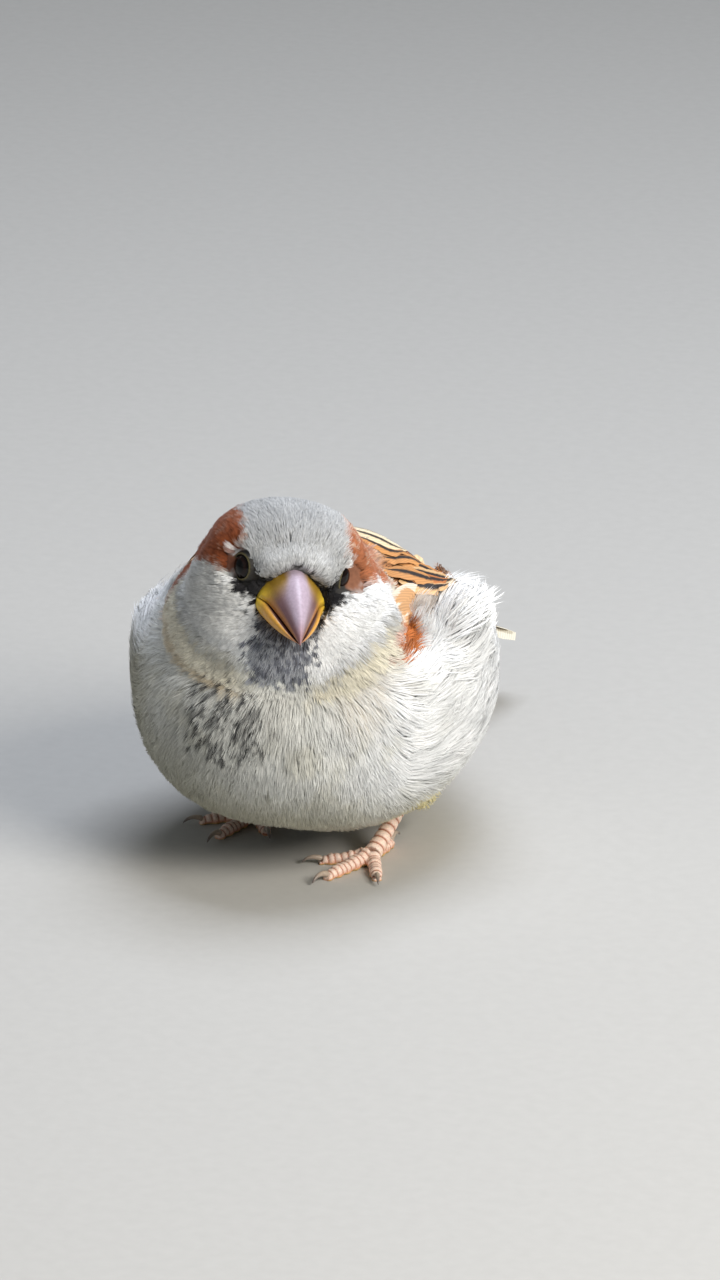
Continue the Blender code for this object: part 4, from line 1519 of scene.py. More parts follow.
WING_ROWS = (
    Row(
        range(7), (8.0, 0.75, -2.6), (0, -0.06, 0.16), (57.5, 0.25, -0.55), (-2.6, -0.12, 0.10), (2.9, 1.3),
        shape={"rim": 0.2, "round": 0.16},
    ),  # primaries
    Row(
        range(6), (3.0, 0.62, -1.2), (1, -0.12, 0.10), (37.0, 0.60, 0.0), (-1.6, -0.16, 0.06), (3.4, 2.6),
        shape={"rim": 0.3},
    ),  # secondaries
    Row(
        range(3), (2.0, 0.22, -0.6), (-1, -0.15, 0.16), (39.0, -0.06, 0.05), (-5.0, -0.14, 0.10), (4.2, 3.6),
        ("#3A2F2A", "#B98B58"), {"rim": 0.36, "tip": 0.07, "round": 0.3},
    ),  # tertials
    Row(
        range(4), (-8.0, 0.95, -1.6), (1, -0.08, 0.1), (12.0, 0.98, -0.5), (-1.5, -0.10, 0.12), (2.3, 1.6),
    ),  # primary coverts
    Row(
        range(9), (-9.0, 0.90, -2.9), (0, -0.13, 0.03), (6.0, 0.75, -0.25), (0, -0.13, 0.04), (2.7, 2.5),
        ("#3B2B24", "#C08A52"), {"rim": 0.34, "tip": 0.10, "round": 0.3, "camber": 0.16}, (0.8, 1.0),
    ),  # greater coverts
    *(
        Row(
            numbers, (-11.5, 0.92, -2.9), (0, -0.14, 0), (-3.6, 0.90, 0.05), (0, -0.14, 0.03), (2.5, 2.5),
            tones, {"rim": 0.3, "tip": 0.26, "round": 0.36, "camber": 0.2}, (0.4, 2.0),
        )
        for numbers, tones in ((range(3, 6), ("#B06A3A", "#CC9160")), (range(6, 10), ("#C89A6C", "#E6D6C2")))
    ),  # median coverts, the outer ones chestnut and the inner ones pale
)


@dataclass
class Wing:
    """One folded wing: quills and coverts laid along the strip that the CAD wing fills."""

    place: Place
    side: str
    stations: tuple = (
        (20.8, -17.5, 9.9, 46, 5.5, 1.6), (20.8, -9, 13.5, 54, 8.2, 2.1), (20.4, 3, 13.8, 56, 10, 2.3),
        (20, 17, 9.6, 54, 11, 2.1), (15, 31, 5.2, 54, 8.6, 1.7), (9, 45, 0.7, 60, 5.2, 1.2),
        (5, 58, -4.7, 68, 2.4, 0.7),
    )  # x, y, z from the trunk's middle, tilt in degrees, half chord, half thickness, in mm
    wrap: float = 25.0  # mm, radius over which the feathers bend round the wing

    def spot(self, y: float, chord: float, lift: float) -> tuple[Array, Array]:
        """Gives a place on the folded wing.

        Args:
            y: Millimetres behind the trunk's middle.
            chord: From -1 at the upper edge to 1 at the lower one.
            lift: Millimetres above the strip's outer face.

        Returns:
            The place and the way the wing's face looks there.
        """
        rows = np.array(self.stations)
        x, z, tilt, half, thick = (np.interp(y, rows[:, 1], rows[:, k]) for k in (0, 2, 3, 4, 5))
        turn = math.radians(tilt)
        down = np.array([math.cos(turn), 0, -math.sin(turn)])
        out = np.array([math.sin(turn), 0, math.cos(turn)])
        shift = chord * half
        round_off = thick * math.sqrt(max(0.0, 1 - min(1.0, chord * chord)))
        local = np.array([x, y, z]) + down * shift + out * (round_off + lift - shift * shift / (2 * self.wrap))
        face = unit(out + down * (shift / self.wrap))
        sign = np.array([SIDES[self.side], 1, 1])
        return self.place.trunk + local * sign * MM, face * sign

    def lay(self, start: Sequence[float], end: Sequence[float]) -> tuple[Array, Array]:
        """Lays a shaft over the wing from one place to another, each as (y, chord, lift)."""
        line, face = zip(*(self.spot(*place) for place in np.linspace(start, end, 9)))
        return self.place.lowered(np.array(line), 0.8), np.array(face)

    def build(self, material: Material) -> None:
        """Makes the wing's feathers from the quills up to the smallest coverts.

        Args:
            material: Their finish.
        """
        sheet = VaneSheet(f"wing_feathers_{self.side}", 21)
        for row in WING_ROWS:
            inner, outer = row.width if self.side == "left" else row.width[::-1]
            core, edge = map(hex_tone, row.tones)
            size, pace = row.wave
            for k in row.numbers:
                end = np.array(row.end) + np.array(row.end_step) * k + [size * math.sin(pace * k), 0, 0]
                line, face = self.lay(np.array(row.start) + np.array(row.start_step) * k, end)
                sheet.vanes.append(Vane(line, face, inner, outer, core, edge, **row.shape))
        sheet.build(material, "wing_plumage", (f"wing_{self.side}",))


@dataclass
class Mantle:
    """Streaked back feathers and scapulars, laid in rows over the mantle and the upper edge of the wings."""

    place: Place
    markings: Markings
    skin: Skin
    rng: np.random.Generator = field(default_factory=lambda: np.random.default_rng(41))
    length: float = 13.0
    half: float = 2.2
    row: float = 4.4  # mm between the roots that follow each other down one line
    steps: int = 7  # stretches of a shaft
    warm: tuple[str, ...] = ("#BF7439", "#D09355", "#E2B883", "#EBD0A2")  # edges of the outer feathers
    pale: str = "#FAEBCB"  # edges of the inner rows
    rump: str = "#8C8273"  # edges of the hindmost ones
    streak: str = "#241A18"
    scapulars: tuple = ((13.1, 15.9), (13.6, 14.3), (14.0, 12.8), (15.6, 15.1), (16.1, 13.4))
    # roots of the left shoulder's lowest feathers, across and up in the slanting frame, in mm

    def flow(self, points: Array, normals: Array) -> Array:
        """Gives the way the feathers point: back and outwards, down over the wings, straight back at the rump.

        Args:
            points: Points on the skin.
            normals: The skin's normals there.

        Returns:
            Unit directions along the skin.
        """
        x, y, _ = self.place.in_trunk(points).T
        side = np.sign(x) * ease(np.abs(x), 0.0, 5.0) * (1 - 0.75 * ease(y, 10.0, 24.0))
        out = np.abs(side)
        return flatten_on(np.stack([side, 1.0 - 0.65 * out, -0.75 * out], 1), normals)

    def roots(self) -> Array:
        """Walks lines from the back's middle outwards over the skin, and sets roots along them.

        Returns:
            The roots, those of neighbouring lines staggered.
        """
        spots, dues = [], []
        for line, y in enumerate(np.arange(-23.0, 25.0, 2.6)):
            for sign in (-1.0, 1.0):
                way = unit(np.array([sign * 0.05, 0, 1.0]))
                centre = self.place.trunk + np.array([0, y, 0.0]) * MM
                found = self.skin.struck(centre + way * 60 * MM, -way)
                spots += found
                dues += [self.row * (0.5 * (line % 2))] * len(found)
        walk, due = np.array(spots), np.array(dues)
        found = []
        for step in range(30):
            now = due <= step
            found.append(walk[now])
            due = due + self.row * now
            _, normals, _ = self.skin.settle(walk)
            walk, _, _ = self.skin.settle(walk + self.flow(walk, normals) * MM)
        spots = np.concatenate(found)
        spots = spots + self.rng.normal(0, 0.22 * MM, spots.shape)
        b = self.place.in_trunk(spots)
        x, y, z = b.T
        lowest = np.where(x > 0, 11.5, 15.0) - 5.0 * ease(y, 8.0, 22.0)
        beyond = (np.abs(x) > 12) & (z < lowest)
        beyond |= (b @ ACROSS < -16.0) & (y < 14)
        beyond |= (b @ ACROSS > 19.0) & (y < 10)
        head = away(self.place.in_head(spots))
        behind = (self.markings.masks(spots)["mantle"] > 0.3) & (head > 19.0)
        beside = (np.abs(x) > 8) & (y > -17) & (head > 18.6)
        low = []
        for across, height in self.scapulars:
            low += self.skin.struck(self.place.trunk + (ACROSS * across + HEIGHT * height + FRONT * 60) * MM, -FRONT)
        return np.concatenate([spots[(behind | beside) & ~beyond], np.array(low)])

    def build(self, material: Material) -> None:
        """Makes the rows.

        Args:
            material: The feathers' finish.
        """
        rng = self.rng
        sheet = VaneSheet("mantle_feathers", 43, 0.09)
        roots, normals, deep = self.skin.settle(self.roots())
        yaw = rng.normal(0, 0.07, len(roots))
        path, lifts = [roots], [normals]
        b = self.place.in_trunk(roots)
        room = np.where(b[:, 1] < 14, (23.0 - np.where(b[:, 0] > 0, b @ ACROSS, 0.0)) / (0.85 * self.length), 1.0)
        length = self.length * np.clip(room, 0.5, 1.0)
        for _ in range(self.steps):
            flow = swung(self.flow(path[-1], lifts[-1]), lifts[-1], yaw)
            spot, normal, _ = self.skin.settle(path[-1] + flow * (length / self.steps * MM)[:, None])
            path.append(spot)
            lifts.append(normal)
        line, face = np.stack(path, 1), np.stack(lifts, 1)
        climb = 0.45 + 0.75 * (1 - (1 - np.linspace(0, 1, self.steps + 1)) ** 1.6)
        spots = self.place.in_trunk(line.reshape(-1, 3)).reshape(line.shape)
        over_wing = ease(np.abs(spots[..., 0]), 10.0, 15.0) * ease(spots[..., 1], 24.0, 12.0)
        proud = MM * (0.45 + 0.9 * over_wing)
        line = line + face * (deep[:, None] * climb * (1 + rng.normal(0, 0.05, (len(roots), 1))) + proud)[..., None]
        line = self.place.lowered(line.reshape(-1, 3), 0.4).reshape(line.shape)
        over_flank = ((spots[..., 0] > 22.8) & (spots[..., 1] < -4.0) & (spots[..., 2] < 15.3)).any(axis=1)
        for number, (x, y, _) in enumerate(spots[:, -2]):
            if over_flank[number]:
                continue
            pale = ease(abs(x), 14.0, 9.5) * ease(abs(x), 0.5, 3.0)
            edge = washed(rng.choice(self.warm), [(self.pale, pale * 0.9), (self.rump, ease(y, 24.0, 31.0))])
            core = hex_tone(self.streak) if rng.random() < 0.85 else edge * 0.72
            rim, tip, taper = rng.uniform(0.6, 0.78), rng.uniform(0.02, 0.08), rng.uniform(0.4, 0.8)
            shape = {"rim": rim, "tip": tip, "round": 0.5, "camber": 0.16, "taper": taper}
            sheet.vanes.append(Vane(line[number], face[number], self.half, self.half, core, edge, **shape))
        sheet.build(material, "body_plumage")


@dataclass
class Tail:
    """Twelve tail quills, nearly closed, with the middle pair on top."""

    place: Place
    root: tuple[float, float, float] = (0.3, 39.0, 0.6)  # mm from the trunk's middle
    end: tuple[float, float, float] = (0.8, 87.5, -18.7)
    root_half: float = 3.2
    end_half: float = 9.2
    notch: float = 1.6
    outermost: tuple[str, str] = ("#CFC5AC", "#EAE4D0")  # core and edge
    others: tuple[str, str] = ("#43362E", "#9C8160")

    def build(self, material: Material) -> None:
        """Makes the tail from the outermost pair to the middle one, which lies on top.

        Args:
            material: The feathers' finish.
        """
        sheet = VaneSheet("tail_feathers", 33)
        root, end = np.array(self.root), np.array(self.end)
        ahead = unit(end - root)
        up = unit(np.array([0, 0, 1.0]) - ahead * ahead[2])
        for pair, sign in itertools.product(range(5, -1, -1), (1.0, -1.0)):
            share, outermost = pair / 5, pair == 5
            webs = (3.4, 0.5) if outermost else (2.6 - 0.9 * share, 3.7)
            inner, outer = webs if sign > 0 else webs[::-1]
            places = []
            for step in np.linspace(0, 1, 9):
                middle = root + (end - root - ahead * self.notch * (1 - share)) * step
                half = self.root_half + (self.end_half - self.root_half) * step
                side = sign * (0.35 + share * max(half - 2.4, 0.4)) * (0.3 + 0.7 * step)
                lift = 0.55 - 0.22 * pair - 0.012 * side * side - 0.4 * step + 0.2 * outermost * step
                places.append(self.place.trunk + (middle + np.array([side, 0, 0]) + up * lift) * MM)
            face = unit(np.tile(up + np.array([sign * (0.75 if outermost else 0.12 * share), 0, 0]), (9, 1)))
            core, edge = map(hex_tone, self.outermost if outermost else self.others)
            shape = {"rim": 0.62 if outermost else 0.14, "tip": 0.03, "round": 0.12, "camber": 0.06}
            sheet.vanes.append(Vane(np.array(places), face, inner, outer, core, edge, **shape))
        sheet.build(material, "tail_plumage", ("tail",))


@dataclass(frozen=True)
class HornFinish:
    """Keratin horn: dense, faintly streaked along its growth, with a dull polish from wiping and wear."""

    name: str
    roughness: float = 0.38
    coat: float = 0.15
    streak: float = 0.5  # mm between growth streaks

    def make(self) -> Material:
        """Builds the material over the piece's own colours."""
        rough = (self.roughness - 0.1, self.roughness + 0.12)
        shade, detail = {1: 0.3, 2: 0.7, 3: 0.88, 4: 1.1}, {"Detail": 4.0, "Roughness": 0.6}
        grain = Grain(Pattern.NOISE, self.streak, shade, rough, (0.3, 0.04), detail=detail)
        return grain.make(self.name, {"Coat Weight": self.coat, "Coat Roughness": 0.25})


def loft(name: str, rings: Sequence[Array]) -> Mesh:
    """Skins closed rings of equal count, and closes both ends.

    Args:
        name: The mesh's name.
        rings: Rings of points, in metres, in order.

    Returns:
        The closed mesh, with its faces looking out.
    """
    shape = bmesh.new()
    loops = []
    for ring in rings:
        made = bmesh.ops.create_circle(shape, segments=len(ring), radius=1.0)["verts"]
        for vert, place in zip(made, ring):
            vert.co = Vector(place)
        shape.verts.ensure_lookup_table()
        loops.append([edge for edge in {edge for vert in made for edge in vert.link_edges}])
    for first, second in zip(loops, loops[1:]):
        bmesh.ops.bridge_loops(shape, edges=first + second)
    bmesh.ops.holes_fill(shape, edges=loops[0] + loops[-1], sides=0)
    bmesh.ops.recalc_face_normals(shape, faces=shape.faces)
    return mesh_of(name, shape)


@dataclass
class Bill:
    """A stout cone in two halves, with a ridged top, bitten edges and soft yellow corners."""

    place: Place
    base: float = -8.2  # mm in the head's frame, as are the next ones
    tip: float = -23.3
    half_width: float = 5.8
    mouth_base: float = 3.4
    mouth_tip: float = 2.6
    overbite: float = 0.9
    upper_depth: float = 5.4
    lower_depth: float = 4.4
    thinnest: float = 0.10
    sides: int = 40
    rings: int = 26

    def half(self, upper: bool) -> tuple[list[Array], Array]:
        """Works out one half's rings from its base to its point.

        Args:
            upper: Whether it is the upper half.

        Returns:
            The rings, and for each point its share along the bill and its share up from the mouth.
        """
        rings, marks = [], []
        length = self.base - self.tip - (0 if upper else self.overbite)
        arch = self.sides // 2
        for i in range(self.rings + 1):
            share = min((i / self.rings) ** 0.9, 0.998)
            y = self.base - length * share
            mouth = self.mouth_base + (self.mouth_tip - self.mouth_base) * share
            mouth += 0.30 * math.sin(share * math.pi * 1.2) - 0.5 * (1 - share) ** 4
            if upper:
                width = self.half_width * (0.97 * (1 - share) ** 1.12 + 0.06 * math.sin(math.pi * share))
                depth = self.upper_depth * (1 - share**1.7) ** 0.8
            else:
                width = 0.90 * self.half_width * (1 - share**1.9) ** 0.9
                depth = self.lower_depth * (1 - share**1.8)
            width, depth = max(width, self.thinnest), max(depth, self.thinnest)
            flange = 0.75 * math.exp(-(((share - 0.13) / 0.07) ** 2))
            ring = []
            for k in range(self.sides):
                if k <= arch:
                    turn = math.pi * k / arch
                    up = math.sin(turn)
                    wide = width * math.cos(turn)
                    height = depth * up ** (0.95 if upper else 0.62)
                    if upper:
                        wide *= 1 - 0.42 * up ** 1.5 * (1 - 0.5 * share)
                    else:
                        wide *= 1 + 0.10 * math.sin(math.pi * min(1.0, up * 1.2)) * (1 - share)
                    wide += math.copysign(flange * math.exp(-((up / 0.25) ** 2)), wide) if abs(wide) > 0.1 else 0
                    level = 0.0
                    marks.append((share, up))
                else:
                    turn = (k - arch) / (self.sides - arch)
                    wide = -width * (1 - 2 * turn) * 0.96
                    height, level = 0.0, 0.3 * math.sin(math.pi * turn) * min(1.0, depth)
                    marks.append((share, -1.0))
                ring.append((wide, y, mouth + height + level + 0.05 if upper else mouth - 0.2 - height - level))
            rings.append(self.place.from_head(np.array(ring)))
        return rings, np.array(marks)

    def colours(self, mesh: Mesh, rings: list[Array], marks: Array, upper: bool) -> Array:
        """Colours one half: lilac ridge, partly a painted sheen, mauve-brown flanks, partly painted shade, olive root,
        yellow corners and edges, dusky point, and the faces towards the mouth dark with painted shade.

        Args:
            mesh: The half's mesh.
            rings: The rings that it was made from.
            marks: What the rings' points were marked with.
            upper: Whether it is the upper half.

        Returns:
            A linear colour for each point of the mesh.
        """
        finder = finder_of(np.concatenate(rings))
        share, up = marks[[finder.find(point)[1] for point in points_of(mesh)]].T
        if upper:
            ridge = np.interp(share, [0.0, 0.15, 0.45], [0.99, 0.96, 0.80])
            # the lilac ridge is partly its real tone and partly a painted sheen; the mauve-brown lower flanks are
            # partly real and partly painted shade
            base, washes = "#B5A4B4", [
                ("#7A5A5E", ease(up, 0.85, 0.45)),
                ("#A07E2C", ease(up - ridge, 0.0, -0.16) * ease(share, 0.46, 0.14)),
                ("#C98A4A", ease(up, 0.30, 0.08)),
                ("#96605E", ease(share, 0.72, 1.0) * 0.8),
            ]
        else:
            base = "#E0A545"
            washes = [("#D19A5C", ease(up, 0.55, 0.95)), ("#A86A58", ease(share, 0.70, 1.0) * 0.8)]
        corner = np.exp(-(((share - 0.12) / 0.12) ** 2)) * ease(up, 0.45, 0.15)
        # the faces towards the mouth are dark with painted shade
        return washed(base, washes + [("#E8C53A", corner), ("#4A2A22", (up < 0).astype(float))])

    def build(self) -> None:
        """Makes both halves."""
        finish = HornFinish("bill_horn").make()
        for upper in (True, False):
            node = "bill_upper" if upper else "bill_lower"
            rings, marks = self.half(upper)
            mesh = loft(node + "_horn", rings)
            paint_points(mesh, PAINT, self.colours(mesh, rings, marks, upper))
            place_piece(mesh, finish, "bill_horn", (node,))


@dataclass(frozen=True)
class EyeFinish:
    """Wet eye: dark brown iris round a black pupil, under a clear cornea that mirrors the lights."""

    name: str = "wet_eye"
    rings: tuple[tuple[float, str], ...] = (
        (0.0, "#020202"), (0.40, "#030202"), (0.46, "#1A0C08"), (0.60, "#0E0604"), (0.70, "#020101")
    )  # pupil and iris, by the angle from the line of sight

    def make(self) -> Material:
        """Builds the material over the eye's own number, the angle from where it looks."""
        material, tree = new_surface(self.name)
        ring = add_node(tree, "ShaderNodeAttribute", attribute_name="Ring")
        spot = add_node(tree, "ShaderNodeTexCoord").outputs["Object"]
        fibre = add_node(tree, "ShaderNodeTexNoise", {"Vector": spot, "Scale": 4000.0, "Detail": 3.0})
        wobble = add_node(tree, "ShaderNodeMapRange", {0: fibre.outputs[0], 3: -0.03, 4: 0.03})
        moved = add_node(tree, "ShaderNodeMath", {0: ring.outputs["Fac"], 1: wobble.outputs[0]}, operation="ADD")
        bands = add_node(tree, "ShaderNodeValToRGB", {0: moved.outputs[0]})
        ramp_stops(bands, self.rings)
        wet = {"Roughness": 0.2, "Specular IOR Level": 0.15, "IOR": 1.376, "Coat Weight": 0.35, "Coat Roughness": 0.03}
        dress_surface(tree, {"Base Color": bands.outputs[0]} | wet)
        return material


@dataclass(frozen=True)
class BareSkinFinish:
    """Bare living skin: fine wrinkles and grain, slightly waxy where it is stretched."""

    name: str
    grain: float = 0.25  # mm
    roughness: float = 0.55

    def make(self) -> Material:
        """Builds the material over the piece's own colours."""
        rough = (self.roughness - 0.12, self.roughness + 0.15)
        grain = Grain(Pattern.CELLS, self.grain, {1: 0.0, 2: 0.9, 3: 1.12, 4: 0.80}, rough, (0.5, 0.05), sunken=True)
        blood = (0.6 * MM, 0.25 * MM, 0.15 * MM)
        return grain.make(self.name, {"Subsurface Weight": 0.08, "Subsurface Radius": blood})


@dataclass
class Eye:
    """An eyeball with its cornea, and the beaded lid that rings its opening."""

    place: Place
    side: str
    radius: float = 2.9
    lid_profile: tuple[tuple[float, float], ...] = (
        (1.98, 2.08), (2.00, 2.22), (2.10, 2.32), (2.24, 2.30), (2.42, 2.12), (2.66, 1.72), (2.95, 1.00), (3.20, 0.0)
    )  # distance from the line of sight, and along it from the eye's middle, in mm

    def build(self, ball_finish: Material, lid_finish: Material) -> None:
        """Makes the eyeball and its lid.

        Args:
            ball_finish: The eyeball's material.
            lid_finish: The lid's material.
        """
        middle, look = self.place.eye(self.side)
        turn = Vector((0, 0, 1)).rotation_difference(Vector(look)).to_matrix().to_4x4()
        stand = Matrix.Translation(Vector(middle)) @ turn
        shape = bmesh.new()
        bmesh.ops.create_uvsphere(shape, u_segments=48, v_segments=32, radius=self.radius * MM)
        for vert in shape.verts:
            rise = vert.co.z / (self.radius * MM)
            vert.co *= 1 + 0.05 * float(ease(np.array(rise), 0.70, 0.95))
        angle = [math.acos(max(-1.0, min(1.0, vert.co.normalized().z))) for vert in shape.verts]
        bmesh.ops.transform(shape, matrix=stand, verts=shape.verts)
        mesh = mesh_of(f"eyeball_{self.side}", shape)
        mark_points(mesh, "Ring", np.array(angle))
        place_piece(mesh, ball_finish, "eye", (f"eye_{self.side}",))
        self.lid(stand, lid_finish)

    def lid(self, stand: Matrix, finish: Material) -> None:
        """Spins the lid's section round the line of sight, then wrinkles and beads it.

        Args:
            stand: Where the eye stands and the way it looks.
            finish: The lid's material.
        """
        shape = bmesh.new()
        verts = [shape.verts.new((far * MM, 0, along * MM)) for far, along in self.lid_profile]
        edges = [shape.edges.new(pair) for pair in zip(verts, verts[1:])]
        bmesh.ops.spin(
            shape, geom=verts + edges, cent=(0, 0, 0), axis=(0, 0, 1), angle=math.tau, steps=96, use_merge=True
        )
        rng = np.random.default_rng(17)
        bead = rng.uniform(0.7, 1.3, 40)
        for vert in shape.verts:
            around = math.atan2(vert.co.y, vert.co.x)
            far = math.hypot(vert.co.x, vert.co.y) / MM
            ridge = math.exp(-(((far - 2.16) / 0.14) ** 2))
            cell = (around + math.pi) / math.tau * 40
            height = 0.07 * bead[int(cell) % 40] * abs(math.sin(math.pi * cell)) * ridge
            groove = -0.05 * math.cos(14 * around + 3 * math.sin(2 * around)) * math.exp(-(((far - 2.5) / 0.25) ** 2))
            vert.co.z += (height + groove) * MM
        bmesh.ops.recalc_face_normals(shape, faces=shape.faces)
        points = np.array([vert.co[:] for vert in shape.verts])
        bmesh.ops.transform(shape, matrix=stand, verts=shape.verts)
        mesh = mesh_of(f"eyelid_{self.side}", shape)
        far = away(points[:, :2], (0, 0)) / MM
        washes = [("#1A1816", ease(far, 2.22, 2.45)), ("#0C0A09", ease(far, 2.10, 2.02))]
        paint_points(mesh, PAINT, washed("#5E5632", washes))
        place_piece(mesh, finish, "head_plumage")


@dataclass
class Leg:
    """One foot with its scaly toes and claws."""

    side: str
    voxel: float = 0.22  # mm
    scute: float = 1.15  # mm from one scale to the next, on the toes
    pad: float = 2.3  # mm from one toe pad to the next
    toes: tuple[str, ...] = ("inner", "middle", "outer", "hallux")

    def axis(self, node: str) -> tuple[Array, Array, float]:
        """Measures a CAD node.

        Args:
            node: The node's name.

        Returns:
            Its middle, its long direction and its length, in metres.
        """
        points = points_of(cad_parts[node].data)
        middle = points.mean(axis=0)
        way = np.linalg.svd(points - middle, full_matrices=False)[2][0]
        along = (points - middle) @ way
        return middle, way, float(along.max() - along.min())

    def build(self, skin_finish: Material, claw_finish: Material) -> None:
        """Makes the foot's skin with scutes and pads, then its claws.

        Args:
            skin_finish: The skin's material.
            claw_finish: The claws' material.
        """
        nodes = [f"tarsus_{self.side}"] + [f"toe_{toe}_{self.side}" for toe in self.toes]
        mesh = remeshed(f"foot_{self.side}", [node_shape(node, 0.2 * MM) for node in nodes], self.voxel * MM)
        smoothed(mesh, 2)
        points, normals = points_of(mesh), normals_of(mesh)
        trees = [BVHTree.FromBMesh(node_shape(node, 0.0)) for node in nodes]
        far = np.array([[tree.find_nearest(point)[3] for tree in trees] for point in points])
        own = far.argmin(axis=1)
        along = np.zeros(len(points))
        for number, node in enumerate(nodes):
            middle, way, _ = self.axis(node)
            along = np.where(own == number, (points - middle) @ way / MM, along)
        step = np.where(own == 0, self.scute * 1.5, self.scute)
        phase = (along / step) % 1.0
        groove = np.exp(-(((phase - 0.5) / 0.11) ** 2))
        top = ease(normals[:, 2], -0.25, 0.15)
        top = np.where(own == 0, ease(-normals[:, 1], -0.5, 0.1), top)
        pads = np.cos(along / self.pad * math.tau) * ease(normals[:, 2], 0.0, -0.6) * (own > 0)
        push = -0.11 * groove * top + 0.13 * pads + 0.05 * top * np.cos(phase * math.tau)
        moved = points + normals * (push * MM)[:, None]
        moved[:, 2] = np.maximum(moved[:, 2], 0.0)
        move_points(mesh, moved)
        washes = (
            # painted highlight: the skin that faces up, and the front of the tarsus, paler
            ("#FFE9DA", top * 0.85 * (1 - groove)),
            ("#DDBB77", ease(normals[:, 2], -0.1, -0.6) * (own > 0)),
            ("#8A4428", groove * top * 0.8),
        )
        paint_points(mesh, PAINT, washed("#E59C78", washes))
        shade_smooth(mesh)
        place_piece(mesh, skin_finish, "leg_skin", nodes)
        self.claws(claw_finish)

    def claws(self, finish: Material) -> None:
        """Joins the foot's four claws and rounds them.

        Args:
            finish: Their material.
        """
        shape, shares = bmesh.new(), []
        nodes = [f"claw_{toe}_{self.side}" for toe in self.toes]
        for node in nodes:
            part = mesh_of("part", node_shape(node, 0.0))
            spots = points_of(part)
            middle, way, length = self.axis(node)
            narrow = [np.ptp(spots[(spots - middle) @ (way * s) > length * 0.25], axis=0).sum() for s in (1, -1)]
            tipward = way if narrow[0] < narrow[1] else -way
            shares.append(np.clip((spots - middle) @ tipward / length + 0.5, 0, 1))
            shape.from_mesh(part)
            bpy.data.meshes.remove(part)
        mesh = mesh_of(f"claws_{self.side}", shape)
        paint_points(mesh, PAINT, washed("#B8A796", [("#6B605C", ease(np.concatenate(shares), 0.35, 1.0))]))
        piece = place_piece(mesh, finish, "claw_horn", nodes)
        rounder = piece.modifiers.new("round", "SUBSURF")
        rounder.levels = rounder.render_levels = 2


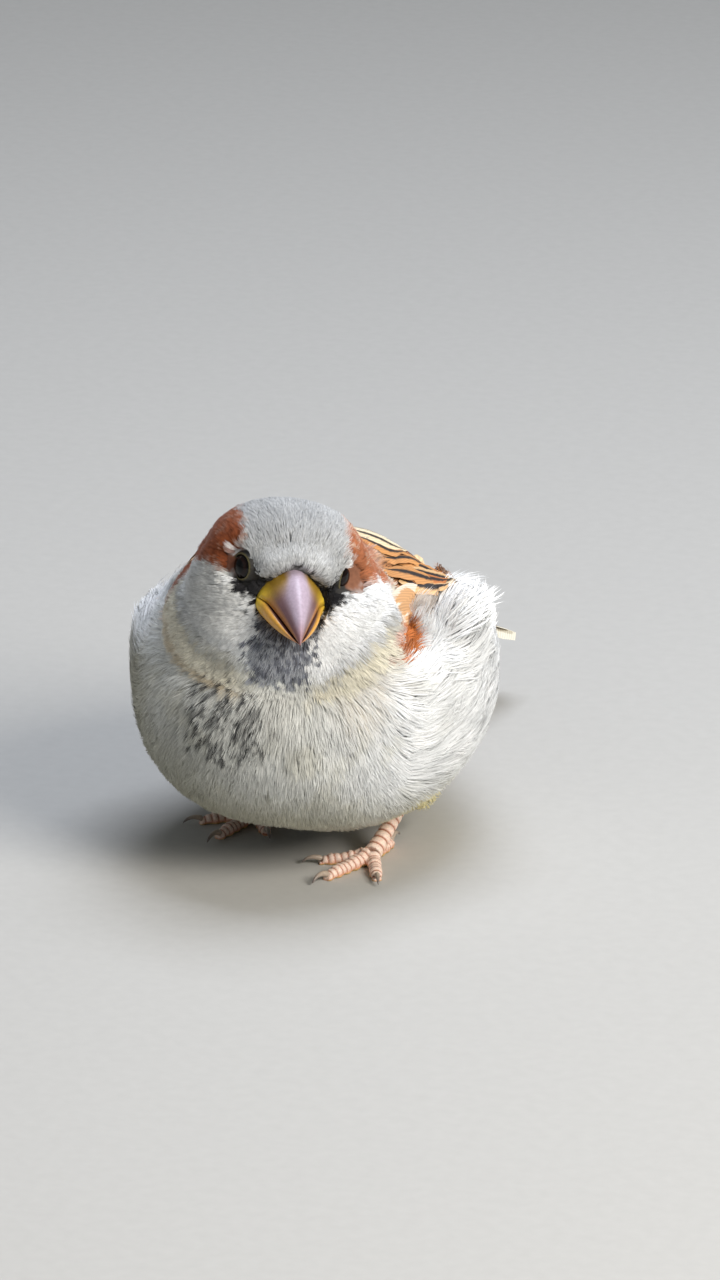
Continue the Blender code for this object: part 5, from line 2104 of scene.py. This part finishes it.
@dataclass
class Studio:
    """Pale floor, soft lamps and the camera."""

    place: Place
    azimuth: float = 19.0  # degrees
    elevation: float = 18.0  # degrees
    distance: float = 1.4  # m
    field_height: float = 0.2176  # what the frame's height covers at the bird
    centre: tuple[float, float] = (7.82, 4.25)  # mm right of and above the trunk's middle
    sky: tuple[str, float] = ("#DDE2E6", 0.23)  # tone and strength
    lamps: tuple = (
        ("key", (0.74, -0.40, 0.56), 0.45, 9.6, "#FFF9F0"),
        ("fill", (-0.45, -0.85, 0.40), 0.70, 0.3, "#F4F2EC"),
        ("top", (0.05, 0.15, 0.85), 0.50, 6.0, "#ECF2FF"),
    )

    def hang(self, name: str, spot: tuple[float, float, float], size: float, watts: float, tone: str) -> None:
        """Hangs one soft lamp that faces the bird.

        Args:
            name: Its name.
            spot: Where it hangs, in metres.
            size: Its side, in metres.
            watts: Its power.
            tone: Its colour, as hex.
        """
        light = bpy.data.lights.new(name, "AREA")
        light.size = size
        light.energy = watts
        light.color = rgba(tone)[:3]
        lamp = bpy.data.objects.new(name, light)
        lamp.location = spot
        lamp.rotation_euler = (Vector((0, -0.02, 0.03)) - Vector(spot)).to_track_quat("-Z", "Y").to_euler()
        bpy.context.scene.collection.objects.link(lamp)

    def floor(self) -> None:
        """Lays a plain pale floor."""
        shape = bmesh.new()
        bmesh.ops.create_grid(shape, x_segments=8, y_segments=8, size=2.5)
        mesh = mesh_of("floor", shape)
        material, tree = new_surface("matt_paper")
        spot = add_node(tree, "ShaderNodeTexCoord").outputs["Object"]
        grain = add_node(tree, "ShaderNodeTexNoise", {"Vector": spot, "Scale": 400.0})
        tone = add_node(tree, "ShaderNodeValToRGB", {0: grain.outputs[0]})
        ramp_stops(tone, ((0.0, "#B9B8B4"), (1.0, "#C1C0BC")))
        dress_surface(tree, {"Base Color": tone.outputs[0], "Roughness": 0.9})
        mesh.materials.append(material)
        link_mesh(mesh)

    def build(self) -> None:
        """Sets floor, light and camera."""
        self.floor()
        scene = bpy.context.scene
        world = bpy.data.worlds.new("pale_room")
        scene.world = world
        world.use_nodes = True
        feed(world.node_tree, world.node_tree.nodes["Background"], {0: rgba(self.sky[0]), 1: self.sky[1]})
        for lamp in self.lamps:
            self.hang(*lamp)
        turn, tip = math.radians(self.azimuth), math.radians(self.elevation)
        right = np.array([math.cos(turn), math.sin(turn), 0])
        up = np.array([-math.sin(turn) * math.sin(tip), math.cos(turn) * math.sin(tip), math.cos(tip)])
        back_way = np.array([math.sin(turn) * math.cos(tip), -math.cos(turn) * math.cos(tip), math.sin(tip)])
        aim = self.place.trunk + (right * self.centre[0] + up * self.centre[1]) * MM
        data = bpy.data.cameras.new("camera")
        data.lens = data.sensor_width * self.distance / self.field_height
        data.clip_start = 0.05
        data.clip_end = 20.0
        camera = bpy.data.objects.new("camera", data)
        camera.location = aim + back_way * self.distance
        camera.rotation_euler = Vector(back_way).to_track_quat("Z", "Y").to_euler()
        scene.collection.objects.link(camera)
        scene.camera = camera
        scene.view_settings.view_transform = "Standard"


def main() -> None:
    """Builds the room, then the sparrow from the skin outwards."""
    logging.basicConfig(level=logging.INFO, format="%(message)s")
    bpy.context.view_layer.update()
    place = Place.measured()
    markings = Markings(place)
    Studio(place).build()
    skin = Skin(place, markings).build()
    Coat(place, markings, skin).build()
    vane_finish = VaneFinish().make()
    Mantle(place, markings, skin).build(VaneFinish("loose_back_feather_vane", 0.5, 0.6).make())
    for side in SIDES:
        Wing(place, side).build(vane_finish)
    Tail(place).build(vane_finish)
    Bill(place).build()
    ball, lid = EyeFinish().make(), BareSkinFinish("bare_eyelid_skin").make()
    scales, claw = BareSkinFinish("scaly_foot_skin", 0.35, 0.5).make(), HornFinish("claw_horn", 0.32, 0.3).make()
    for side in SIDES:
        Eye(place, side).build(ball, lid)
        Leg(side).build(scales, claw)


if __name__ == "__main__":
    main()
